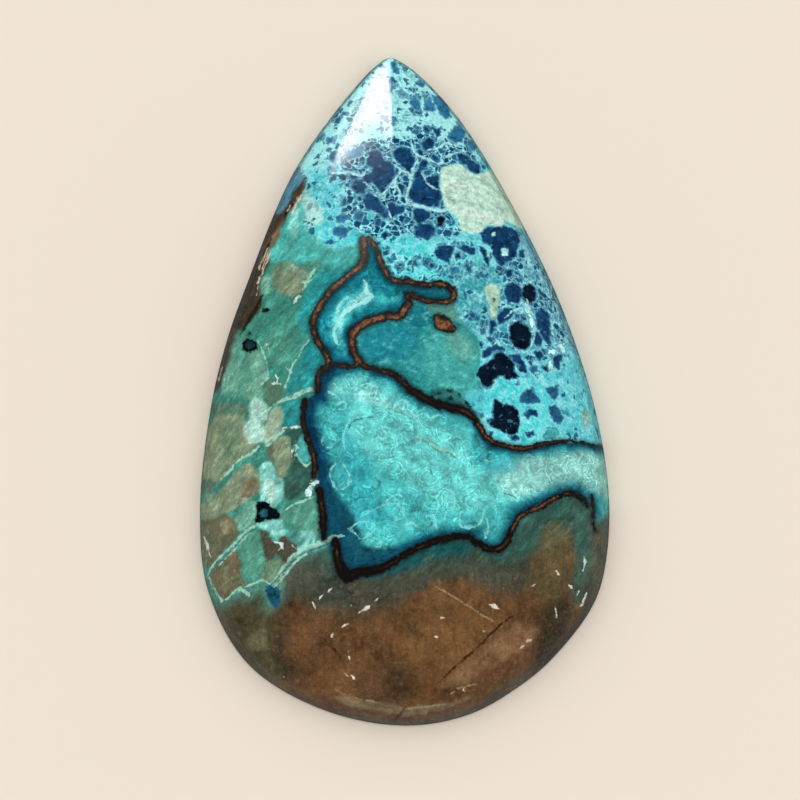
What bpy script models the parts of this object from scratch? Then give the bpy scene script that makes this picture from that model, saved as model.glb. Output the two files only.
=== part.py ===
"""A teardrop cabochon of shattuckite in quartz: one polished stone that lies on its flat back.

Frame: metres, +Z up, +Y towards the tip. The origin is under the middle of the stone, on the surface it
lies on. The sizes below are in millimetres.
"""

import bmesh
import bpy
import numpy as np

MM = 0.001

# The plan outline at its widest, (x, y), clockwise from the tip. The right side has a flat between
# (11.5, -13.98) and (9.2, -16.93), where the stone was ground a little deeper.
OUTLINE = (
    (-0.95, 21.17),
    (0.0, 20.77),
    (1.75, 19.22),
    (3.95, 16.47),
    (7.25, 10.72),
    (9.85, 5.07),
    (11.9, -1.48),
    (12.71, -7.38),
    (12.3, -11.88),
    (11.5, -13.98),
    (9.2, -16.93),
    (7.3, -18.58),
    (4.0, -20.47),
    (-0.1, -21.17),
    (-5.2, -20.13),
    (-9.65, -17.38),
    (-12.15, -12.88),
    (-12.71, -7.88),
    (-12.12, -1.48),
    (-11.15, 2.85),
    (-10.05, 6.12),
    (-7.1, 13.52),
    (-4.2, 17.9),
    (-1.85, 20.62),
)
SUMMIT = (0.2, -5.0)  # plan place of the dome's highest point
THICKNESS = 7.0
BACK_BEVEL = (0.4, 0.35)  # width and height of the bevel round the flat back
WALL_TOP = 2.0  # height of the girdle, where the wall meets the dome
WALL_LEAN = 0.45  # how far the wall leans in from the outline by the girdle
DOME_FULLNESS = 2.1  # the dome's height is (1 - r ** FULLNESS) ** shoulder
SHOULDER = 0.74  # round the sides and the foot, where the dome rises steeply from the girdle
NOSE_SHOULDER = 0.94  # at the tip, where it runs out flatter
NOSE_SPAN = 0.071  # how far round the outline the flatter nose reaches, as a share of its length
CREST_OVAL = (11.9, 22.5, 15.7)  # the oval the crest rounds off to: half width, reach to tip and to foot
CREST_REACH = 0.8  # how fast the ridge that runs up from the tip fades

OUTLINE_STEPS = 112
WALL_RINGS = 3
DOME_RINGS = 17


def smooth_loop(points, steps):
    """A closed centripetal Catmull-Rom curve through the points, read at equal steps of its length."""
    knots = np.array(points)
    before, after, beyond = (np.roll(knots, -n, axis=0) for n in (-1, 1, 2))
    fine = []
    for p0, p1, p2, p3 in zip(before, knots, after, beyond):
        t0 = 0.0
        t1 = t0 + np.linalg.norm(p1 - p0) ** 0.5
        t2 = t1 + np.linalg.norm(p2 - p1) ** 0.5
        t3 = t2 + np.linalg.norm(p3 - p2) ** 0.5
        t = np.linspace(t1, t2, 40, endpoint=False)[:, None]
        a1 = (t1 - t) / (t1 - t0) * p0 + (t - t0) / (t1 - t0) * p1
        a2 = (t2 - t) / (t2 - t1) * p1 + (t - t1) / (t2 - t1) * p2
        a3 = (t3 - t) / (t3 - t2) * p2 + (t - t2) / (t3 - t2) * p3
        b1 = (t2 - t) / (t2 - t0) * a1 + (t - t0) / (t2 - t0) * a2
        b2 = (t3 - t) / (t3 - t1) * a2 + (t - t1) / (t3 - t1) * a3
        fine.append((t2 - t) / (t2 - t1) * b1 + (t - t1) / (t2 - t1) * b2)
    curve = np.concatenate(fine + [fine[0][:1]])
    length = np.concatenate([[0], np.cumsum(np.linalg.norm(np.diff(curve, axis=0), axis=1))])
    at = np.linspace(0, length[-1], steps, endpoint=False)
    return np.stack([np.interp(at, length, curve[:, axis]) for axis in (0, 1)], axis=1)


def inset(loop, distance):
    """The loop moved in square to itself by a distance."""
    along = np.roll(loop, -1, axis=0) - np.roll(loop, 1, axis=0)
    inward = np.stack([along[:, 1], -along[:, 0]], axis=1)
    return loop + distance * inward / np.linalg.norm(inward, axis=1, keepdims=True)


def level_ring(plan, height):
    return np.column_stack([plan, np.full(len(plan), height)])


def dome_ring(girdle, r):
    """The dome's ring at r, 1 at the girdle and 0 at the summit: the girdle shrunk and rounded off."""
    spoke = girdle - np.array(SUMMIT)
    angle = np.arctan2(spoke[:, 1], spoke[:, 0])
    wide, tipward, footward = CREST_OVAL
    long = np.where(angle > 0, tipward, footward)
    oval = wide * long / np.hypot(long * np.cos(angle), wide * np.sin(angle))
    oval = oval[:, None] * np.stack([np.cos(angle), np.sin(angle)], axis=1)
    rounded = (1 - r) ** CREST_REACH
    plan = np.array(SUMMIT) + r * ((1 - rounded) * spoke + rounded * oval)
    share = np.arange(len(girdle)) / len(girdle)
    nose = np.exp(-((np.minimum(share, 1 - share) / NOSE_SPAN) ** 2))
    shoulder = SHOULDER + (NOSE_SHOULDER - SHOULDER) * nose
    height = WALL_TOP + (THICKNESS - WALL_TOP) * (1 - r**DOME_FULLNESS) ** shoulder
    return np.column_stack([plan, height])


def stone_rings():
    """Every ring of the stone from its back to just under the summit."""
    edge = smooth_loop(OUTLINE, OUTLINE_STEPS)
    bevel_width, bevel_height = BACK_BEVEL
    rings = [level_ring(inset(edge, bevel_width), 0.0)]
    for part in np.linspace(0, 1, WALL_RINGS):
        height = bevel_height + (WALL_TOP - bevel_height) * part
        rings.append(level_ring(inset(edge, WALL_LEAN * part), height))
    girdle = rings[-1][:, :2]
    for turn in np.linspace(np.pi / 2, 0, DOME_RINGS, endpoint=False)[1:]:
        rings.append(dome_ring(girdle, np.sin(turn)))
    return rings


def stone_mesh():
    """The stone as one closed mesh: its flat back, rings joined by quads, and a fan round the summit."""
    mesh = bmesh.new()
    loops = [[mesh.verts.new(point) for point in ring * MM] for ring in stone_rings()]
    summit = mesh.verts.new((SUMMIT[0] * MM, SUMMIT[1] * MM, THICKNESS * MM))
    mesh.faces.new(loops[0])
    for lower, upper in zip(loops, loops[1:]):
        for k in range(OUTLINE_STEPS):
            mesh.faces.new((lower[k], lower[k - 1], upper[k - 1], upper[k]))
    for k in range(OUTLINE_STEPS):
        mesh.faces.new((loops[-1][k], loops[-1][k - 1], summit))
    bmesh.ops.recalc_face_normals(mesh, faces=mesh.faces)
    return mesh


def polished_stone_material():
    """Polished chrysocolla and shattuckite in quartz: blue green, glossy, no metal."""
    material = bpy.data.materials.new("polished_shattuckite")
    material.use_nodes = True
    shader = material.node_tree.nodes["Principled BSDF"]
    shader.inputs["Base Color"].default_value = (0.07, 0.38, 0.4, 1)
    shader.inputs["Roughness"].default_value = 0.12
    shader.inputs["Metallic"].default_value = 0.0
    material.diffuse_color = (0.07, 0.38, 0.4, 1)
    return material


def make_stone():
    data = bpy.data.meshes.new("shattuckite_cabochon")
    mesh = stone_mesh()
    mesh.to_mesh(data)
    mesh.free()
    data.materials.append(polished_stone_material())
    data.shade_smooth()
    data.set_sharp_from_angle(angle=np.radians(35))
    stone = bpy.data.objects.new("shattuckite_cabochon", data)
    bpy.context.scene.collection.objects.link(stone)


def main():
    for thing in list(bpy.data.objects):
        bpy.data.objects.remove(thing)
    make_stone()


main()
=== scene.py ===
"""A teardrop cabochon of shattuckite and chrysocolla in quartz, lying on a plain pale table.

Sizes are in millimetres. The stone lies on its flat back with its tip towards +Y. Its pattern is drawn on a
grid of its own, 16 steps to a millimetre, as the stone is seen from the viewing point.
"""

from functools import partial
from math import cos, radians, sin

import bpy
import numpy as np
from bpy.props import FloatProperty, FloatVectorProperty, PointerProperty
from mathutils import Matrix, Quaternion, Vector


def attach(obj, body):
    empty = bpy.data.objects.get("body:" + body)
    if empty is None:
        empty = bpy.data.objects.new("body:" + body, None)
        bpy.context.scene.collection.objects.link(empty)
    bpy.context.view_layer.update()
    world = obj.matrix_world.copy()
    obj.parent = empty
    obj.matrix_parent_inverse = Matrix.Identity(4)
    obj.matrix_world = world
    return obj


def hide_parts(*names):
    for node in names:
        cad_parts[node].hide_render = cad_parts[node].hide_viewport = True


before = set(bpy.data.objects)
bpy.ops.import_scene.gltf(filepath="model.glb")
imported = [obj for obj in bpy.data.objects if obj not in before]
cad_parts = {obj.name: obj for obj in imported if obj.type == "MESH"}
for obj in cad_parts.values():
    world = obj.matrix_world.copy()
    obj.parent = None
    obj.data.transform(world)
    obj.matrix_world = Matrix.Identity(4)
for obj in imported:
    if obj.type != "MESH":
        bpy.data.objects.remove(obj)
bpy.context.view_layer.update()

bl_info = {
    "name": "Shattuckite cabochon",
    "version": (1, 0, 0),
    "blender": (4, 5, 0),
    "location": "View3D > Sidebar > Cabochon",
    "description": "Builds a polished teardrop of shattuckite in quartz, and the table it lies on",
    "category": "Add Mesh",
}

MM = 0.001

# The plan outline at its widest, clockwise from the tip.
OUTLINE = (
    (-0.95, 21.17), (0.0, 20.77), (1.75, 19.22), (3.95, 16.47), (7.25, 10.72), (9.85, 5.07), (11.9, -1.48),
    (12.71, -7.38), (12.3, -11.88), (11.5, -13.98), (9.2, -16.93), (7.3, -18.58), (4.0, -20.47),
    (-0.1, -21.17), (-5.2, -20.13), (-9.65, -17.38), (-12.15, -12.88), (-12.71, -7.88), (-12.12, -1.48),
    (-11.15, 2.85), (-10.05, 6.12), (-7.1, 13.52), (-4.2, 17.9), (-1.85, 20.62),
)
SUMMIT = (0.2, -5.0)  # plan place of the dome's highest point
CREST_OVAL = (11.9, 22.5, 15.7)  # half width, reach towards the tip and reach towards the foot
CREST_REACH = 0.8  # how fast the ridge that runs up from the tip fades
DOME_FULLNESS = 2.1  # the dome's height is (1 - r ** FULLNESS) ** shoulder
SHOULDER, NOSE_SHOULDER = 0.74, 0.94  # round the sides and the foot, and at the flatter tip
NOSE_SPAN = 0.071  # how far round the outline the flatter nose reaches, as a share of its length

ACROSS, ALONG = 248, 352  # steps of the dome's grid
WALL_STEPS = 4
BACK_COARSENESS = 4  # the back's grid has this many times fewer steps
BACK_MARGIN = 0.12  # from the bevel's lower edge to the back's grid

# At how many places between two knots the stone's outline, the pattern's outlines and its paths are read.
OUTLINE_PARTS, SHAPE_PARTS, PATH_PARTS = 40, 3, 4
TANGENT_REACH = 3  # the outline's direction is taken between the places this far to both sides

# The pattern's grid is seen from this far away, along a line that rises this steeply on the foot's side.
VIEW_DISTANCE, VIEW_ELEVATION = 250.0, radians(80)
VIEW_MIDDLE = (-0.29, -0.766)
STEPS_PER_MM, GRID_MIDDLE = 16, 400  # the grid counts right and down, from the upper left

# The pattern, in grid steps as far as WAVERS. First the seams of limonite that part the cells: x, y,
# half width with the black edges, and half width of the brown core.
SEAMS = (
    (  # down the left of the inner cell
        (363, 239, 4, 2.6), (364.5, 249, 4.4, 2.8), (364, 257, 4.2, 2.8), (361, 265, 3.6, 2.4),
        (352, 272, 3.4, 2.2), (343, 280, 3.6, 2.4), (334, 287, 3.8, 2.6), (324, 300, 3.6, 2.4),
        (317, 311, 3.6, 2.2), (313, 321, 3.8, 2.2), (314, 333, 3.6, 2), (318, 342, 3.6, 2),
        (324, 350, 3.4, 2), (328, 361, 3.6, 2.2), (327, 367, 3.6, 2.2), (320, 372, 3.4, 2),
        (318, 381, 3.2, 1.8), (317, 391, 3.6, 1.2),
    ),
    (  # left of the great cell, upper stretch
        (305, 401, 3, 0.6), (303, 411, 3, 1), (303, 421, 3, 1.2), (306, 433, 3, 1.2), (310, 444, 3, 1.4),
        (314, 457, 3, 1.4), (315, 468, 3, 1.4), (314, 477, 2.6, 0.8),
    ),
    (  # left of the great cell, lower stretch
        (319.5, 490, 3.4, 0.2), (321, 503, 4, 1.2), (323, 517, 4.2, 1.4), (323, 531, 3.8, 0.8),
        (324.6, 539, 2.6, 0),
    ),
    (  # under the great cell
        (335, 541, 4, 0.4), (337, 552, 4.6, 1), (338, 562, 5.4, 1), (342, 570, 6.6, 0.8),
        (347, 576, 6.4, 0.6), (356, 573.5, 5.8, 0.4), (369, 571, 5.2, 0.4), (382, 568, 4.6, 0.6),
        (394, 562, 4.2, 0.8), (407, 554, 4, 0.8), (420, 547, 3.8, 0.8), (433, 542, 3.6, 0.8),
        (445, 539, 3.6, 0.8), (458, 536.5, 3.6, 0.6), (468, 537, 3.6, 0.6), (475, 541, 3.6, 0.8),
        (483, 546.5, 3.6, 0.8), (494, 550, 3.8, 1), (502.5, 547, 3.8, 1.2), (508, 539.5, 3.6, 1.4),
        (513, 528, 3.4, 1.6), (519, 518, 3.2, 1.8), (529, 511, 3.2, 2), (541, 506, 3, 1.8),
        (552, 499, 3, 1.8), (562, 495, 2.8, 1.6), (573, 494, 2.8, 1.4), (582, 499, 2.8, 1.4),
        (589, 507, 2.2, 0.8),
    ),
    ((592, 495, 1.4, 0.8), (593, 506, 1.8, 1), (593, 522, 1.4, 0.7), (595, 532, 0.8, 0.2)),
    (  # round the finger, right of the inner cell
        (362, 240, 3.2, 2.2), (368, 239, 3, 2.2), (375, 245.5, 3, 2.2), (379, 256, 3, 2), (382, 265, 3, 2),
        (386, 272, 3, 2), (391, 279, 3, 2), (399, 281, 3, 2), (406.5, 281, 3, 1.8), (417, 284, 2.8, 1.6),
        (427, 285, 2.8, 1.8), (438, 284, 3.2, 2.2), (447, 286, 3.4, 2.6), (453, 291, 3.6, 2.8),
        (454, 298, 3.4, 2.6), (447, 302, 2.8, 2), (437, 302, 2.6, 1.8), (427, 301, 2.6, 1.8),
        (418, 298, 2.8, 2), (412, 295, 3, 2.2), (406.5, 296.5, 3.2, 2.2),
    ),
    (  # under the finger and down the right of the inner cell
        (407, 297, 3.2, 2.2), (408, 303, 4, 2.8), (404, 311, 4.4, 3), (399, 316, 4.4, 3),
        (389, 316, 4.2, 2.8), (378.5, 318, 4.4, 3), (367, 322, 4.6, 3.2), (357, 328, 4.8, 3.2),
        (352, 336, 4.6, 2.8), (352, 345, 4.2, 2.4), (354, 353, 4, 2.2), (358, 359, 3.8, 2.2),
        (360, 364, 3.6, 2.2),
    ),
    ((327, 367, 2.6, 1.8), (333, 364.5, 2.6, 1.8), (343, 366, 2.6, 1.8), (353.5, 366, 2.8, 1.8),
     (359, 362, 3, 1.8)),
    (  # between the turquoise and the great cell
        (360, 364, 3, 1.8), (372, 368.5, 2.6, 1.2), (381, 371, 2.8, 1.6), (391, 373, 3.2, 1.8),
        (399, 378, 3.6, 1.4), (406.5, 386, 4, 1), (417, 393.5, 4.4, 1), (427, 400, 4.6, 1),
        (438, 404, 4.6, 0.8), (451, 407.5, 4.6, 0.8), (464, 411, 4.4, 1.2), (473, 417, 3.8, 1.6),
        (480, 427, 3.4, 1.8), (485, 435, 3.4, 1.8), (492.5, 442, 3.2, 1.6), (504, 445, 3, 1.6),
        (517, 448, 2.8, 1.4), (529.5, 448, 2.8, 1.4), (542, 444.5, 2.6, 1.4), (555, 442, 2.2, 1.2),
        (568, 441, 1.8, 1), (580.5, 442, 1.6, 0.9), (589, 444, 1.4, 0.8), (606, 447, 1, 0.5),
    ),
)
# A blob of limonite with a black edge.
RUST_BLOB = (
    (432, 317), (438, 313), (447, 317), (453, 322), (458, 329), (452, 333.5), (442, 332), (434, 327),
)

# The cells between the seams. Their edges lie under the seams.
INNER_CELL = (
    (362, 240), (366, 250), (364, 262), (352, 272), (334, 287), (320, 305), (313, 321), (315, 335),
    (324, 350), (328, 365), (343, 366), (359, 362), (354, 353), (352, 340), (357, 328), (378, 318),
    (399, 316), (406, 305), (406, 296), (412, 295), (427, 301), (447, 302), (454, 297), (450, 288),
    (438, 284), (417, 284), (399, 281), (391, 279), (382, 265), (375, 245), (368, 239),
)
TURQUOISE_CELL = (
    (360, 364), (354, 353), (352, 340), (357, 328), (378, 318), (399, 316), (408, 303), (418, 302),
    (428, 308), (434, 318), (452, 320), (462, 326), (474, 333), (480, 345), (480, 360), (478, 374),
    (482, 388), (484, 400), (482, 414), (474, 416), (451, 407), (427, 400), (406, 386), (391, 373),
    (372, 368),
)
GREAT_CELL = (
    (328, 366), (320, 372), (318, 381), (317, 391), (305, 402), (303, 420), (310, 444), (315, 468),
    (316, 480), (320, 491), (323, 517), (325, 538), (335, 541), (338, 562), (347, 577), (369, 571),
    (394, 562), (420, 547), (445, 539), (468, 536), (494, 550), (508, 540), (513, 528), (529, 511),
    (552, 499), (573, 494), (592, 506), (597, 526), (614, 532), (616, 449), (604, 447), (580, 442),
    (555, 442), (529, 448), (504, 445), (485, 435), (473, 416), (451, 407), (427, 400), (406, 386),
    (391, 373), (372, 368), (355, 366), (343, 366),
)

# Other outlines that a colour and a fine texture share.
FINE_BRECCIA = (
    (380, 40), (480, 60), (640, 320), (640, 450), (604, 447), (580, 442), (555, 442), (529, 448),
    (504, 445), (485, 435), (476, 420), (482, 404), (482, 388), (478, 374), (480, 355), (478, 340),
    (470, 328), (458, 318), (455, 298), (450, 286), (417, 284), (399, 281), (386, 272), (379, 256),
    (368, 239), (355, 245), (340, 250), (322, 246), (312, 240), (305, 225), (303, 200), (302, 178),
    (296, 160), (330, 100),
)
SMOKY_QUARTZ = (
    (286, 572), (300, 562), (318, 560), (338, 566), (350, 582), (372, 588), (400, 584), (430, 576),
    (470, 568), (500, 566), (530, 556), (556, 540), (582, 556), (586, 580), (596, 590), (580, 640),
    (530, 720), (400, 760), (280, 720), (200, 640), (236, 604), (266, 612), (282, 600),
)
GREEN_OPAL = (
    (440, 168), (455.5, 164), (468, 170), (474.6, 174), (485, 171.5), (492.5, 171.5), (501.4, 185.5),
    (511.6, 202), (519.3, 217.4), (524.4, 229), (511.6, 224), (506.5, 220), (501.4, 225), (487.4, 226),
    (481, 231.4), (472, 232.7), (460.6, 229), (458, 217.4), (449, 211), (444, 202), (441.5, 192),
)
PALE_CRYSTAL = (
    (486.5, 284), (492, 282), (497.5, 284), (499.5, 293), (498, 305), (495.5, 317), (492, 318), (488, 306),
    (486, 294),
)
# Which fine texture lies where: its number, how soft its edge is, and outlines. Later ones lie over
# earlier ones.
TEXTURES = (
    (0, 6, (FINE_BRECCIA,)), (3, 20, (SMOKY_QUARTZ,)), (1, 2, (GREAT_CELL, INNER_CELL)),
    (2, 2, (TURQUOISE_CELL, GREEN_OPAL, PALE_CRYSTAL)),
)

# The colours of the minerals, from chrysocolla and shattuckite through stained chalcedony to stained
# quartz.
PALE_AQUA, AQUA, BRIGHT_AQUA = "#B0F4F4", "#56CEDA", "#48DCE0"
GEL, GEL_PALE, GEL_DEEP, MILK = "#50C6C4", "#6CD6D0", "#34AEB6", "#98DCD2"
LAGOON, TURQUOISE, PEACOCK, DEEP_TEAL = "#50B8B0", "#2C9898", "#1E8C9A", "#127A86"
STEEL_BLUE, PETROL, DEEP_SEA = "#5E9CB8", "#083F5C", "#1A5656"
SEAFOAM, PALE_MINT, OPAL, PALE_CRYSTAL_GREEN = "#88D4C8", "#C6F0E0", "#CAF0DC", "#B2DCC0"
SEA_GREEN, JADE, CELADON, PALE_SAGE = "#42907F", "#5CA28C", "#78B69E", "#9CB69C"
SAGE, OLIVE_SAGE, MOSS, PINE = "#8C9C7E", "#6C8A70", "#587A64", "#34584E"
SAND, TAN, KHAKI, DRAB = "#A89C7C", "#84765A", "#6E6C50", "#524E3E"
CINNAMON, RUSSET, FAWN, BARK = "#64452A", "#72502F", "#927050", "#40362A"
NAVY, INK, AZURE, ICE, TEAL = "#123C62", "#0A1828", "#2A7298", "#B8F2F4", "#3FA0A0"
SMOKE, DARK_OLIVE, SPRUCE = "#3E4A40", "#46452F", "#26403A"
SLATE_GREEN, OLIVE_BROWN, OLIVE_BLACK = "#3E6256", "#5E5236", "#23291F"
MATRIX_GREEN, SEAM_SHADE = "#5A9A8C", "#0B2C34"
# Pearl is also the colour of the painted highlights on the rims.
MINT, PEARL_AND_RIM_HIGHLIGHT = "#A9DCC6", "#E2F6EE"

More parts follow.
